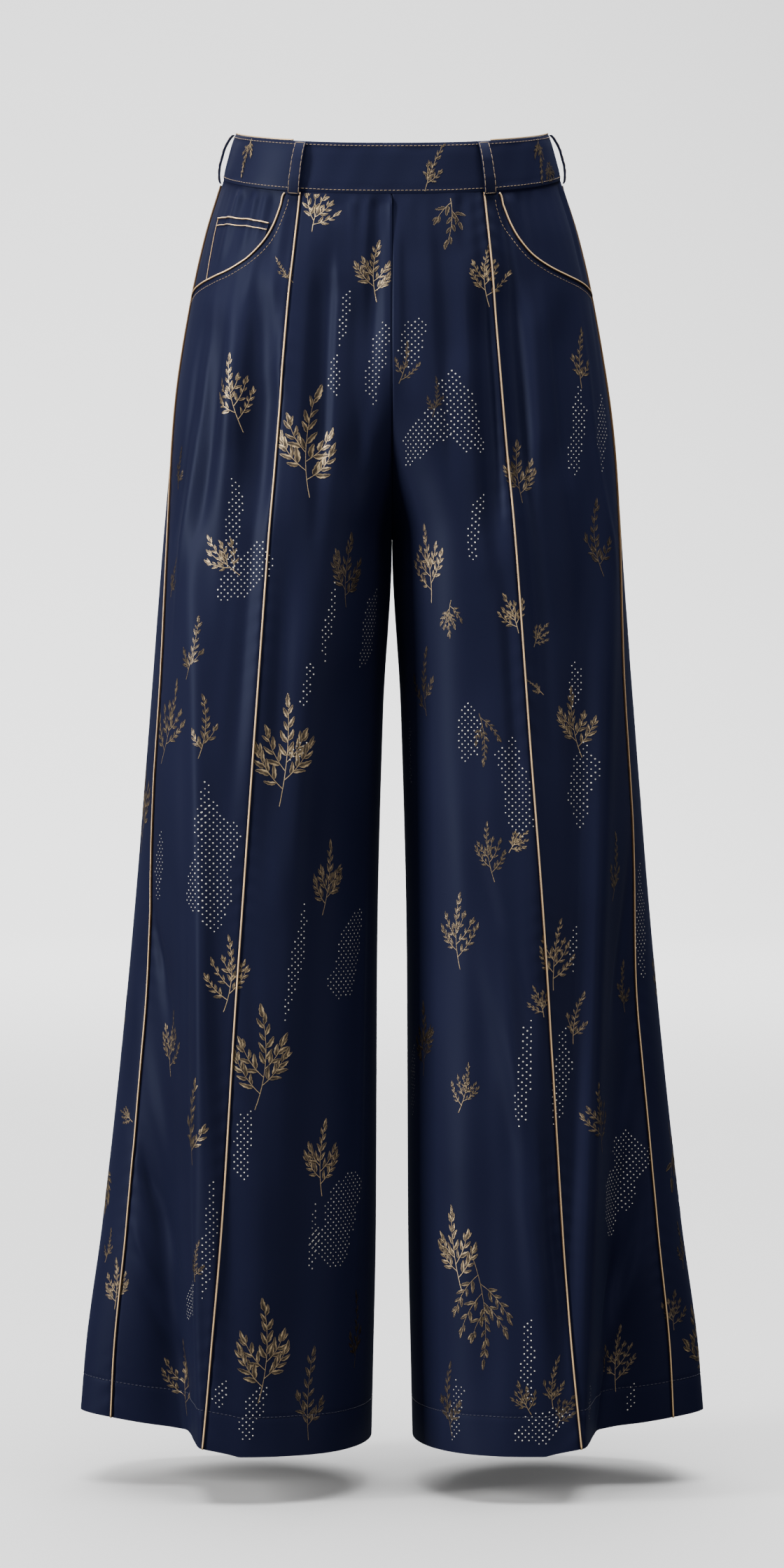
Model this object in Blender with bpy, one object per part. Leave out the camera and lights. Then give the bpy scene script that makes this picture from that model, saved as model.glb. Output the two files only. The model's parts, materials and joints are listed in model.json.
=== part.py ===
"""Palazzo pants: high waist, scooped front pockets, piped princess and side seams.

Every piece is cut from one surface, the cloth of a leg, which runs from the centre front
round the side to the centre back above the crotch, and all round the leg below it.
A place on it is (s, z): s goes 0..1 across the front inner panel, 1..2 across the front
side panel and 2..3 across the back panel, and z is the height of the level section.
Origin: centre of the waist. +Z up, the front faces -Y, the wearer's left leg is at +X.
"""
import bpy
import numpy as np

for old in list(bpy.data.objects):
    bpy.data.objects.remove(old, do_unlink=True)

NAME = "palazzo_pants"

# ---------------------------------------------------------------- driving sizes (metres)
CLOTH = 0.0013          # wall of the satin crepe panels
BAND_WALL = 0.0022      # the waistband is folded double
BAND_PROUD = 0.0007     # the band stands this far proud of the panels below it
SEAM = 0.0003           # clearance between neighbouring pieces
BAND_TOP = 0.0210       # height of the waist's top edge at the sides
BAND_SEAM = -0.0150     # height of the seam below the band at the sides
CROTCH_TOP = -0.170     # where the centre seams start to curve under
CROTCH = -0.304         # height of the crotch point
CROTCH_BEND = 1.5       # how round that curve is
EASE = 0.028            # the cloth eases over the crotch's kink within this height
HEM = -1.0195           # lowest level of the hem
HEM_LIFT_FROM = 0.120   # outside this distance from the axis the hem rises
HEM_LIFT_WIDTH = 0.130
FRONT_ROUND = 2.3       # exponents of the rounded sections: 2 is an ellipse
INNER_ROUND = 2.1
BACK_ROUND = 2.25

PIPING_R = 0.0013       # piping on the seams
COIN_PIPING_R = 0.0009
COIN_EDGE_R = 0.0006
WAIST_PIPING_R = 0.0008

LOOP_WIDTH = 0.0100     # belt loops
LOOP_WALL = 0.0013
LOOP_STAND = 0.0042     # clear room behind a loop for the belt

YOKE_SINK = 0.0010      # how much deeper the yoke lies where it passes behind the panel
YOKE_UNDERLAP = 0.0110  # how far it reaches below the scoop
COIN_WALL = 0.0010      # coin pocket: wall, height of its mouth, rise and bow of the mouth
COIN_MOUTH = -0.0443
COIN_RISE = 0.0008
COIN_BOW = 0.0022
COIN_OUTER = 0.710      # its sides as shares of the front side panel's width
COIN_OUTER_FOOT = 0.668
COIN_INNER = 0.205

# ---------------------------------------------------------------- sections of one leg
# A row for each level: z, half-width at the side, distance of the inner leg from the axis,
# depth in front and behind, x of the most forward line, share of the front depth that drops
# outside the ridge, x of that ridge, width over which it drops, x of the princess seam, how
# far the side seam runs forward of the side, fall of the waist in front, rise of the outer hem.
SECTION_COLUMNS = ("z", "out", "gap", "front", "back", "mid",
                   "drop", "ridge", "fall", "seam", "wrap", "dip", "lift")
SECTIONS = (
    (0.0210, 0.1242, 0.0000, 0.085, 0.093, 0.000, 0.00, 0.120, 0.090, 0.0690, 0.000, 0.0150, 0.0000),
    (-0.015, 0.1342, 0.0000, 0.090, 0.100, 0.003, 0.00, 0.125, 0.090, 0.0718, 0.000, 0.0193, 0.0000),
    (-0.060, 0.1480, 0.0000, 0.097, 0.112, 0.012, 0.00, 0.135, 0.090, 0.0760, 0.000, 0.0130, 0.0000),
    (-0.110, 0.1592, 0.0000, 0.103, 0.122, 0.022, 0.00, 0.145, 0.090, 0.0806, 0.004, 0.0040, 0.0000),
    (-0.190, 0.1720, 0.0000, 0.109, 0.131, 0.040, 0.02, 0.155, 0.085, 0.0868, 0.018, 0.0000, 0.0000),
    (-0.304, 0.1825, 0.0000, 0.113, 0.132, 0.064, 0.08, 0.160, 0.070, 0.0960, 0.040, 0.0000, 0.0000),
    (-0.440, 0.1932, 0.0070, 0.115, 0.127, 0.078, 0.16, 0.160, 0.055, 0.1058, 0.0515, 0.0000, 0.0000),
    (-0.640, 0.2101, 0.0118, 0.117, 0.124, 0.086, 0.26, 0.156, 0.045, 0.1196, 0.0536, 0.0000, 0.0000),
    (-0.850, 0.2317, 0.0128, 0.119, 0.125, 0.092, 0.42, 0.152, 0.033, 0.1331, 0.0492, 0.0000, 0.0070),
    (-0.960, 0.2455, 0.0150, 0.120, 0.127, 0.096, 0.56, 0.150, 0.023, 0.1421, 0.0435, 0.0000, 0.0165),
    (-1.0195, 0.2503, 0.0163, 0.121, 0.128, 0.100, 0.64, 0.149, 0.017, 0.1478, 0.0407, 0.0000, 0.0200),
)

# The largest folds. A row for each: the leg (-1 the wearer's right, 1 the left, 0 both),
# the face it is on (-1 front, 1 back), its x at the top and foot, its top and foot, how far
# it stands out (a trough is negative) and its half-width.
FOLD_COLUMNS = ("leg", "face", "x_top", "x_foot", "top", "foot", "height", "width")
FOLDS = (
    # troughs and ridges that hang from the gathered waist, wearer's right
    (-1, -1, 0.012, 0.018, -0.030, -0.170, -0.0016, 0.008),
    (-1, -1, 0.026, 0.030, -0.075, -0.290, -0.0045, 0.013),
    (-1, -1, 0.045, 0.044, -0.022, -0.110, 0.0015, 0.008),
    (-1, -1, 0.056, 0.060, -0.055, -0.270, -0.0060, 0.011),
    (-1, -1, 0.092, 0.094, -0.070, -0.200, 0.0030, 0.010),
    (-1, -1, 0.104, 0.106, -0.085, -0.300, -0.0055, 0.013),
    (-1, -1, 0.124, 0.128, -0.090, -0.240, 0.0028, 0.012),
    (-1, -1, 0.140, 0.146, -0.110, -0.230, -0.0026, 0.011),
    # and wearer's left
    (1, -1, 0.010, 0.014, -0.030, -0.200, -0.0018, 0.008),
    (1, -1, 0.026, 0.034, -0.050, -0.260, 0.0024, 0.012),
    (1, -1, 0.046, 0.050, -0.024, -0.190, -0.0030, 0.011),
    (1, -1, 0.070, 0.077, -0.070, -0.330, -0.0060, 0.012),
    (1, -1, 0.092, 0.100, -0.060, -0.290, -0.0050, 0.011),
    (1, -1, 0.112, 0.118, -0.090, -0.260, 0.0030, 0.012),
    (1, -1, 0.134, 0.140, -0.100, -0.270, -0.0028, 0.011),
    # long folds down the front of each leg
    (-1, -1, 0.162, 0.134, -0.140, -1.060, 0.0062, 0.010),
    (-1, -1, 0.040, 0.079, -0.330, -1.100, -0.0060, 0.020),
    (-1, -1, 0.110, 0.116, -0.560, -1.100, 0.0030, 0.016),
    (-1, -1, 0.183, 0.173, -0.480, -1.090, -0.0055, 0.016),
    (1, -1, 0.176, 0.142, -0.120, -1.060, 0.0065, 0.010),
    (1, -1, 0.066, 0.060, -0.300, -0.800, -0.0040, 0.018),
    (1, -1, 0.106, 0.121, -0.440, -1.020, 0.0060, 0.014),
    (1, -1, 0.072, 0.076, -0.600, -1.060, -0.0040, 0.016),
    (1, -1, 0.155, 0.137, -0.140, -1.060, -0.0030, 0.011),
    (1, -1, 0.186, 0.178, -0.520, -1.090, -0.0060, 0.015),
    # long folds down the back
    (0, 1, 0.030, 0.040, -0.050, -0.230, 0.0022, 0.012),
    (0, 1, 0.075, 0.072, -0.040, -0.300, -0.0030, 0.014),
    (-1, 1, 0.050, 0.062, -0.330, -1.100, -0.0060, 0.020),
    (-1, 1, 0.112, 0.124, -0.280, -1.100, 0.0050, 0.022),
    (-1, 1, 0.165, 0.190, -0.420, -1.100, -0.0050, 0.018),
    (1, 1, 0.058, 0.050, -0.300, -1.100, -0.0055, 0.019),
    (1, 1, 0.104, 0.110, -0.360, -1.100, 0.0050, 0.021),
    (1, 1, 0.160, 0.182, -0.380, -1.100, -0.0055, 0.019),
)

# The scooped pocket edge, from the band to the side seam: share of the front side panel's
# width at which it lies, and height.
SCOOP_COLUMNS = ("across", "z")
SCOOP = ((0.115, -0.0165), (0.135, -0.0280), (0.165, -0.0450), (0.210, -0.0590), (0.295, -0.0740),
         (0.405, -0.0845), (0.540, -0.0920), (0.700, -0.0980), (0.860, -0.1035), (1.000, -0.1085))

SIDES = (("right", -1), ("left", 1))


# ---------------------------------------------------------------- the cloth of one leg
def columns(table, names, z):
    """Each named column of a table, joined smoothly through its rows, at the heights z."""
    rows = np.array(table)[::-1]
    keys = rows[:, 0]
    row = np.clip(np.searchsorted(keys, z) - 1, 0, len(keys) - 2)
    step = keys[row + 1] - keys[row]
    t = np.clip((z - keys[row]) / step, 0, 1)
    out = {"z": z}
    for number, name in enumerate(names[1:], 1):
        value = rows[:, number]
        secant = np.diff(value) / np.diff(keys)
        slope = np.zeros(len(keys))
        same = secant[1:] * secant[:-1] > 0
        slope[1:-1][same] = 2 * secant[1:][same] * secant[:-1][same] / (secant[1:] + secant[:-1])[same]
        slope[0], slope[-1] = secant[0], secant[-1]
        out[name] = ((2 * t**3 - 3 * t**2 + 1) * value[row] + (t**3 - 2 * t**2 + t) * step * slope[row]
                     + (3 * t**2 - 2 * t**3) * value[row + 1] + (t**3 - t**2) * step * slope[row + 1])
    return out


def smooth(t):
    """A soft step from 0 at t = 0 to 1 at t = 1."""
    t = np.clip(t, 0, 1)
    return t * t * (3 - 2 * t)


def inner_quarter(row, middle, depth, reach):
    """From the inner edge to the most forward line: a quarter of a rounded ring about the
    line's x. Above the crotch the ring is cut short at the centre plane."""
    inner = max(row["gap"], SEAM / 2)
    power = 2 / INNER_ROUND
    t = np.linspace(0, 1, 120)
    start = np.arcsin(min(reach, 0.99999)**(1 / power))
    turn = start + (np.pi / 2 - start) * t
    ratio = np.clip(np.cos(turn) / np.cos(start), 0, 1)**power
    return np.column_stack([middle - (middle - inner) * ratio, depth * np.sin(turn)**power])


def outer_quarter(row, middle, power):
    """x from the most forward line to the side, and the fall of a rounded ring there."""
    turn = np.linspace(0, np.pi / 2, 120)
    return middle + (row["out"] - middle) * np.sin(turn)**power, np.clip(np.cos(turn), 0, 1)**power


def section(row):
    """Points round one level section, front inner edge to back inner edge, and the arc
    lengths of the inner edge, the princess seam, the side seam and the back inner edge."""
    under = np.clip((CROTCH_TOP - row["z"]) / (CROTCH_TOP - CROTCH), 0, 1)
    reach = np.sqrt(1 - under**CROTCH_BEND)            # the centre seams curve under the body
    front = inner_quarter(row, row["mid"], -row["front"], reach)
    x, fall = outer_quarter(row, row["mid"], 2 / FRONT_ROUND)
    step = 1 - smooth((x - row["ridge"]) / row["fall"])
    fall = (1 - row["drop"]) * fall + row["drop"] * step
    front = np.vstack([front, np.column_stack([x, -row["front"] * fall])[1:]])
    middle = row["mid"] * 1.2
    x, fall = outer_quarter(row, middle, 2 / BACK_ROUND)
    back = inner_quarter(row, middle, row["back"], reach)
    back = np.vstack([back, np.column_stack([x, row["back"] * fall])[1:]])[::-1]
    points = np.vstack([front, back[1:]])
    arc = np.concatenate([[0], np.cumsum(np.linalg.norm(np.diff(points, axis=0), axis=1))])
    count = len(front)
    seam = np.interp(row["seam"], front[:, 0] + np.arange(count) * 1e-9, arc[:count])
    return points, arc, (0.0, seam, arc[count - 1] - row["wrap"], arc[-1])


def fold_heights(leg, x, y, z):
    """How far the folds move the cloth out (or in) at each point."""
    total = np.zeros(x.shape)
    for values in FOLDS:
        fold = dict(zip(FOLD_COLUMNS, values))
        if fold["leg"] in (0, leg):
            along = (fold["top"] - z) / (fold["top"] - fold["foot"])
            middle = fold["x_top"] + (fold["x_foot"] - fold["x_top"]) * along
            ends = smooth(along / 0.3) * smooth((1 - along) / 0.25)
            face = smooth(fold["face"] * y / 0.02)
            total += fold["height"] * ends * face * np.exp(-((x - middle) / fold["width"])**2)
    return total


class Leg:
    """The cloth of one leg, with a place (s, z) for every point of it."""

    def __init__(self, side):
        self.side = side
        bend = np.sin(np.linspace(0, np.pi / 2, 41))
        self.z = np.unique(np.round(np.concatenate([
            np.linspace(BAND_TOP + 0.004, CROTCH_TOP, 60), CROTCH_TOP - (CROTCH_TOP - CROTCH) * bend,
            np.linspace(CROTCH, HEM, 180)]), 7))
        self.s = np.linspace(0, 3, 361)
        rows = columns(SECTIONS, SECTION_COLUMNS, self.z)
        rings = [section({name: values[number] for name, values in rows.items()})
                 for number in range(len(self.z))]
        marks = np.array([ring[2] for ring in rings])
        self.width = np.diff(marks, axis=1)
        even = self.even_widths()
        t = self.s[:121]
        cloth = np.zeros((len(self.z), len(self.s), 3))
        for number, (points, arc, mark) in enumerate(rings):
            spare = self.width[number] - even[number]
            at = np.concatenate([mark[1] - even[number, 0] * (1 - t) - spare[0] * (1 - t)**4,
                                 mark[1] + self.width[number, 1] * t[1:],
                                 mark[2] + even[number, 2] * t[1:] + spare[2] * t[1:]**4])
            cloth[number, :, 0] = np.interp(at, arc, points[:, 0])
            cloth[number, :, 1] = np.interp(at, arc, points[:, 1])
        self.ease(cloth)
        x, y, z = cloth[..., 0], cloth[..., 1], self.z[:, None]
        forward = np.clip(-y / rows["front"][:, None], 0, 1)**1.25
        outward = np.clip((x - HEM_LIFT_FROM) / HEM_LIFT_WIDTH, 0, 1)**0.8
        cloth[..., 2] = z - rows["dip"][:, None] * forward + rows["lift"][:, None] * outward
        inner_edge = smooth(self.s / 0.12) * smooth((3 - self.s) / 0.12)
        cloth += self.normals(cloth) * (fold_heights(side, x, y, z) * inner_edge)[..., None]
        cloth[..., 0] = np.maximum(cloth[..., 0], SEAM / 2)
        self.cloth, self.normal = cloth, self.normals(cloth)

    def even_widths(self):
        """Panel widths that change evenly where the centre seams curve under, so that only
        the places next to those seams follow them and the rest run on straight."""
        curve = (self.z < CROTCH_TOP) & (self.z > CROTCH)
        share = (((CROTCH_TOP - self.z) / (CROTCH_TOP - CROTCH))**2)[:, None]
        foot, top = self.width[self.z <= CROTCH][-1], self.width[self.z >= CROTCH_TOP][0]
        return np.where(curve[:, None], top + (foot - top) * share, self.width)

    def ease(self, cloth):
        """Average the cloth up and down, away from the inner edges, so that it bends softly
        past the crotch."""
        level = np.arange(self.z[0] - 2 * EASE, self.z[-1] + 2 * EASE, 0.002)
        row = np.clip(np.searchsorted(self.z, level) - 1, 0, len(self.z) - 2)
        t = np.clip((level - self.z[row]) / (self.z[row + 1] - self.z[row]), 0, 1)[:, None, None]
        even = cloth[row] * (1 - t) + cloth[row + 1] * t
        reach = int(EASE / 0.002)
        weight = np.cos(np.linspace(-np.pi / 2, np.pi / 2, 2 * reach + 1))**2
        soft = sum(share * np.roll(even, shift, axis=0)
                   for shift, share in zip(range(-reach, reach + 1), weight / weight.sum()))
        row = np.clip(((self.z - level[0]) / 0.002).astype(int), 0, len(level) - 2)
        t = ((self.z - level[row]) / 0.002)[:, None, None]
        soft = soft[row] * (1 - t) + soft[row + 1] * t
        share = smooth(self.s / 0.45) * smooth((3 - self.s) / 0.3)
        share = share * smooth((-0.10 - self.z) / 0.08)[:, None] * smooth((self.z - HEM) / 0.10)[:, None]
        cloth += (soft - cloth) * share[..., None]

    def normals(self, cloth):
        """Outward directions, taken across the centre plane above the crotch and round the
        inseam below it, so that two neighbouring pieces share them at their seam."""
        above = (self.z > CROTCH + 1e-6)[:, None]
        mirror = np.array([-1, 1, 1])
        before = np.where(above, cloth[:, 1] * mirror, cloth[:, -2])
        after = np.where(above, cloth[:, -2] * mirror, cloth[:, 1])
        ring = np.concatenate([before[:, None], cloth, after[:, None]], axis=1)
        across = ring[:, 2:] - ring[:, :-2]
        down = -np.gradient(cloth, self.z, axis=0)
        out = np.cross(down, across)
        return out / np.maximum(np.linalg.norm(out, axis=-1), 1e-9)[..., None]

    def at(self, s, z, out=0.0):
        """World points at the places (s, z), moved out from the cloth."""
        s, z, out = np.broadcast_arrays(np.asarray(s, float), np.asarray(z, float), np.asarray(out, float))
        row = np.clip(np.searchsorted(self.z, z) - 1, 0, len(self.z) - 2)
        col = np.clip((s * 120).astype(int), 0, len(self.s) - 2)
        v = ((z - self.z[row]) / (self.z[row + 1] - self.z[row]))[..., None]
        u = (s * 120 - col)[..., None]

        def blend(grid):
            return ((grid[row, col] * (1 - u) + grid[row, col + 1] * u) * (1 - v)
                    + (grid[row + 1, col] * (1 - u) + grid[row + 1, col + 1] * u) * v)

        normal = blend(self.normal)
        normal /= np.linalg.norm(normal, axis=-1, keepdims=True)
        return (blend(self.cloth) + normal * out[..., None]) * np.array([self.side, 1, 1])

    def length(self, z, panel):
        """Width of one of the three panels at the heights z."""
        return np.interp(z, self.z, self.width[:, panel])

    def along(self, s, z, distance):
        """The places a distance further round the cloth than s."""
        panel = int(np.clip(np.floor(np.abs(np.mean(s)) + np.sign(distance * np.mean(s)) * 0.001), 0, 2))
        return s + distance / self.length(z, panel)


# ---------------------------------------------------------------- making objects
def collection():
    group = bpy.data.collections.new(NAME)
    bpy.context.scene.collection.children.link(group)
    return group


def material(name, colour, roughness, metallic=0.0):
    made = bpy.data.materials.new(name)
    made.use_nodes = True
    shader = made.node_tree.nodes["Principled BSDF"]
    shader.inputs["Base Color"].default_value = (*colour, 1)
    shader.inputs["Roughness"].default_value = roughness
    shader.inputs["Metallic"].default_value = metallic
    return made


def add(name, data, look):
    item = bpy.data.objects.new(name, data)
    item.data.materials.append(material(name + "_look", *look))
    GROUP.objects.link(item)
    return item


def wall(name, outer, inner, look):
    """A closed wall between two grids of points, with rims along their four edges."""
    rows, cols = outer.shape[:2]
    index = np.arange(rows * cols).reshape(rows, cols)
    back = index + rows * cols

    def strips(a, b, c, d):
        return np.stack([a, b, c, d], axis=-1).reshape(-1, 4)

    faces = [strips(index[:-1, :-1], index[1:, :-1], index[1:, 1:], index[:-1, 1:]),
             strips(back[:-1, :-1], back[:-1, 1:], back[1:, 1:], back[1:, :-1])]
    for a, b in ((index[0], back[0]), (index[:, -1], back[:, -1]),
                 (index[-1, ::-1], back[-1, ::-1]), (index[::-1, 0], back[::-1, 0])):
        faces.append(strips(a[:-1], a[1:], b[1:], b[:-1]))
    faces = np.concatenate(faces)
    points = np.concatenate([outer.reshape(-1, 3), inner.reshape(-1, 3)])
    middle = outer.reshape(-1, 3).mean(axis=0)
    mesh = bpy.data.meshes.new(name)
    mesh.from_pydata((points - middle).tolist(), [], faces.tolist())
    mesh.validate()
    mesh.update()
    if volume(points - middle, faces) < 0:
        mesh.flip_normals()
    mesh.shade_smooth()
    mesh.set_sharp_from_angle(angle=np.radians(50))
    item = add(name, mesh, look)
    item.location = middle
    return item


def volume(points, faces):
    """Six times the signed volume inside a closed set of four-sided faces."""
    a, b, c, d = (points[faces[:, number]] for number in range(4))
    return np.sum(a * np.cross(b, c)) + np.sum(a * np.cross(c, d))


def tube(name, points, radius, look):
    """A round cord along a run of points."""
    curve = bpy.data.curves.new(name, "CURVE")
    curve.dimensions = "3D"
    curve.bevel_depth = radius
    curve.bevel_resolution = 2
    curve.use_fill_caps = True
    spline = curve.splines.new("POLY")
    spline.points.add(len(points) - 1)
    middle = points.mean(axis=0)
    for place, point in zip(spline.points, points - middle):
        place.co = (*point, 1)
    item = add(name, curve, look)
    item.location = middle
    return item


# ---------------------------------------------------------------- pieces
NAVY = ((0.022, 0.030, 0.085), 0.42)
NAVY_BACK = ((0.020, 0.027, 0.078), 0.42)
NAVY_SIDE = ((0.024, 0.032, 0.090), 0.42)
BAND = ((0.021, 0.029, 0.082), 0.45)
YOKE = ((0.025, 0.033, 0.092), 0.44)
GOLD = ((0.420, 0.260, 0.110), 0.50, 0.25)

PANEL_ROWS = np.unique(np.round(np.concatenate([
    np.linspace(BAND_SEAM - SEAM, -0.118, 7),
    np.linspace(-0.118, CROTCH_TOP, 4),
    CROTCH_TOP - (CROTCH_TOP - CROTCH) * np.sin(np.radians((20, 38, 53, 66, 77, 90))),
    np.linspace(CROTCH, -0.93, 12), (-0.975, HEM)]), 7))[::-1]


def grid(leg, s, z, wall_out, wall_in):
    return leg.at(s, z, wall_out), leg.at(s, z, wall_in)


def inner_trim(leg, z):
    """Share of a panel's width that half a seam takes at the inner edge. Above the crotch
    the cloth is already clear of the centre plane."""
    return np.where(z > CROTCH + 1e-6, 0.0, SEAM / 2)


def panels(leg, word):
    """Front inner, front side and back panel of one leg."""
    z = PANEL_ROWS[:, None]
    half = SEAM / 2
    width = [leg.length(z, number) for number in range(3)]
    t = np.linspace(0, 1, 13)
    start, end = inner_trim(leg, z) / width[0], 1 - half / width[0]
    wall("front_inner_" + word, *grid(leg, start + (end - start) * t, z, 0, -CLOTH), NAVY)
    t = np.linspace(0, 1, 14)
    start, end = 2 + half / width[2], 3 - inner_trim(leg, z) / width[2]
    wall("back_panel_" + word, *grid(leg, start + (end - start) * t, z, 0, -CLOTH), NAVY_BACK)
    s, z = side_panel_places(leg)
    wall("front_side_" + word, *grid(leg, s, z, 0, -CLOTH), NAVY_SIDE)


def side_panel_places(leg):
    """Places of the front side panel. Its columns start along the scoop and spread out to
    even widths a little below it."""
    across, low = np.array(SCOOP).T
    top_s = np.concatenate([[0.0], across])
    top_z = np.concatenate([[BAND_SEAM - SEAM], low])
    even = np.linspace(0, 1, len(top_s))
    level = PANEL_ROWS[PANEL_ROWS < -0.119]
    t = np.array((0, 0.2, 0.42, 0.66))[:, None]
    z = np.concatenate([top_z + (level[0] - top_z) * t, np.repeat(level[:, None], len(even), axis=1)])
    s = np.concatenate([top_s + (even - top_s) * smooth(t), np.repeat(even[None], len(level), axis=0)])
    half = SEAM / 2 / leg.length(z, 1)
    return 1 + half + s * (1 - 2 * half), z


def yoke_depth(across, z):
    """How far inside the cloth's outer face the yoke lies: level with the wall's inner face
    along the band, and sinking a little further towards the scoop, to pass behind the panel."""
    edge = np.interp(across, *np.array(SCOOP).T)
    top = BAND_SEAM - SEAM
    return CLOTH + SEAM + YOKE_SINK * smooth((top - z) / (top - edge))


def pocket(leg, word):
    """The yoke that shows in the scoop, and the piping along the scoop's edge."""
    across = np.linspace(0.03, 1, 13)
    low = np.interp(across, *np.array(SCOOP).T) - YOKE_UNDERLAP
    top = BAND_SEAM - SEAM
    t = np.linspace(0, 1, 9)[:, None]
    z = top + (low - top) * t
    s = 1 + across * (1 - SEAM / leg.length(z, 1))
    level = -yoke_depth(across, z)
    wall("pocket_yoke_" + word, *grid(leg, s, z, level, level - CLOTH), YOKE)
    s, z = side_panel_places(leg)
    s, z = s[0, 1:].copy(), z[0, 1:] - 0.0009
    s[-1] -= (2 * PIPING_R + 2 * SEAM) / leg.length(z[-1], 1)
    tube("pocket_piping_" + word, leg.at(s, z, PIPING_R + SEAM), PIPING_R, GOLD)


def coin_pocket(leg):
    """A small pocket sewn on the wearer's right yoke, with piping along its mouth and side."""
    t = np.linspace(0, 1, 8)
    mouth_s = COIN_OUTER + (COIN_INNER - COIN_OUTER) * t
    mouth_z = COIN_MOUTH + COIN_RISE * t + COIN_BOW * np.sin(np.pi * t)
    foot_s = COIN_OUTER_FOOT + (COIN_INNER + 0.013 - COIN_OUTER_FOOT) * t
    foot_z = np.interp(foot_s, *np.array(SCOOP).T) + 0.0030
    down = np.linspace(0, 1, 5)[:, None]
    s = mouth_s + (foot_s - mouth_s) * down
    z = mouth_z + (foot_z - mouth_z) * down
    face = COIN_WALL + 2 * SEAM - yoke_depth(s, z)
    wall("coin_pocket", *grid(leg, 1 + s, z, face, face - COIN_WALL), YOKE)
    tube("coin_pocket_piping", leg.at(1 + s[0], z[0], face[0] + SEAM + COIN_PIPING_R), COIN_PIPING_R, GOLD)
    edge = np.linspace(0.09, 0.95, 6)
    places = [np.interp(edge, down[:, 0], grid_of[:, 0]) for grid_of in (s, z, face)]
    tube("coin_pocket_side_piping", leg.at(1 + places[0], places[1], places[2] + SEAM + COIN_EDGE_R),
         COIN_EDGE_R, GOLD)


def seam_piping(leg, word):
    """Piping down the princess seam, and down the side seam from below the side loop."""
    out = PIPING_R + SEAM
    z = PANEL_ROWS[1:]
    tube("front_piping_" + word, leg.at(1.0, z, out), PIPING_R, GOLD)
    z = np.concatenate([[BAND_SEAM - 0.0055], PANEL_ROWS[PANEL_ROWS < BAND_SEAM - 0.0075]])
    tube("side_piping_" + word, leg.at(2.0, z, out), PIPING_R, GOLD)


def both_legs(legs, s, z, out):
    """Points at signed places: below zero on the wearer's right leg, above it on the left."""
    s, z, out = np.broadcast_arrays(s, z, out)
    right, left = legs["right"].at(np.abs(s), z, out), legs["left"].at(np.abs(s), z, out)
    points = np.where((s < 0)[..., None], right, left)
    centre = np.isclose(np.abs(s), 0) | np.isclose(np.abs(s), 3)
    points[..., 0] = np.where(centre, 0.0, points[..., 0])
    return points


def waistband(legs):
    """The band in front from side seam to side seam, the band behind, and the piping on
    its top edge from one front loop round the back to the other."""
    z = np.linspace(BAND_TOP, BAND_SEAM, 4)[:, None]
    trim = SEAM / 2 / legs["left"].length(z, 1)
    half = np.concatenate([np.linspace(0, 1, 8), np.linspace(1, 2, 8)[1:]])
    s = np.concatenate([-half[:0:-1], half]) * (1 - trim / 2)
    wall("waistband_front", both_legs(legs, s, z, BAND_PROUD),
         both_legs(legs, s, z, BAND_PROUD - BAND_WALL), BAND)
    trim = SEAM / 2 / legs["left"].length(z, 2)
    half = 2 + trim + (1 - trim) * np.linspace(0, 1, 12)
    s = np.concatenate([half, -half[:, -2::-1]], axis=1)
    wall("waistband_back", both_legs(legs, s, z, BAND_PROUD),
         both_legs(legs, s, z, BAND_PROUD - BAND_WALL), BAND)
    half = np.concatenate([[1.09], np.linspace(1, 2, 8)[1:-1], [1.999, 2.001], np.linspace(2, 3, 12)[1:]])
    s = np.concatenate([half, -half[-2::-1]])
    top = BAND_TOP + SEAM + WAIST_PIPING_R
    tube("waist_piping", both_legs(legs, s, top, BAND_PROUD - WAIST_PIPING_R), WAIST_PIPING_R, GOLD)


def belt_loop(name, legs, s_top, s_foot):
    """A strip that leaves the band at its top edge, stands clear of it and comes back just
    below the band."""
    t = np.linspace(0, 1, 13)[:, None]
    z = BAND_TOP - 0.0008 + (BAND_SEAM - 0.0035 - BAND_TOP + 0.0008) * t
    middle = s_top + (s_foot - s_top) * t
    s = np.hstack([legs["left"].along(middle, z, LOOP_WIDTH * part) for part in (-0.5, 0.0, 0.5)])
    s = np.where(s > 3, s - 6, s)
    stand = BAND_PROUD + SEAM + LOOP_STAND * np.minimum(1, np.sin(np.pi * t)**0.7 * 1.1)
    wall(name, both_legs(legs, s, z, stand + LOOP_WALL), both_legs(legs, s, z, stand), BAND)


GROUP = collection()
LEGS = {word: Leg(side) for word, side in SIDES}
waistband(LEGS)
for word, side in SIDES:
    panels(LEGS[word], word)
    pocket(LEGS[word], word)
    seam_piping(LEGS[word], word)
    belt_loop("belt_loop_front_" + word, LEGS, side * 1.01, side * 1.04)
    belt_loop("belt_loop_side_" + word, LEGS, side * 2.0, side * 2.0)
belt_loop("belt_loop_back", LEGS, 3.0, 3.0)
coin_pocket(LEGS["right"])
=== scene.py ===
"""Palazzo pants, finished: satin crepe cloth, gold piping, sewing and foil print.

Every piece lies on one surface for each leg, the same as that of the solid frame. A place on
it is (s, z): s goes 0..1 across the front inner panel, 1..2 across the front side panel and
2..3 across the back panel, and z is the height of the level section. Lengths are metres.
"""

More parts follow.
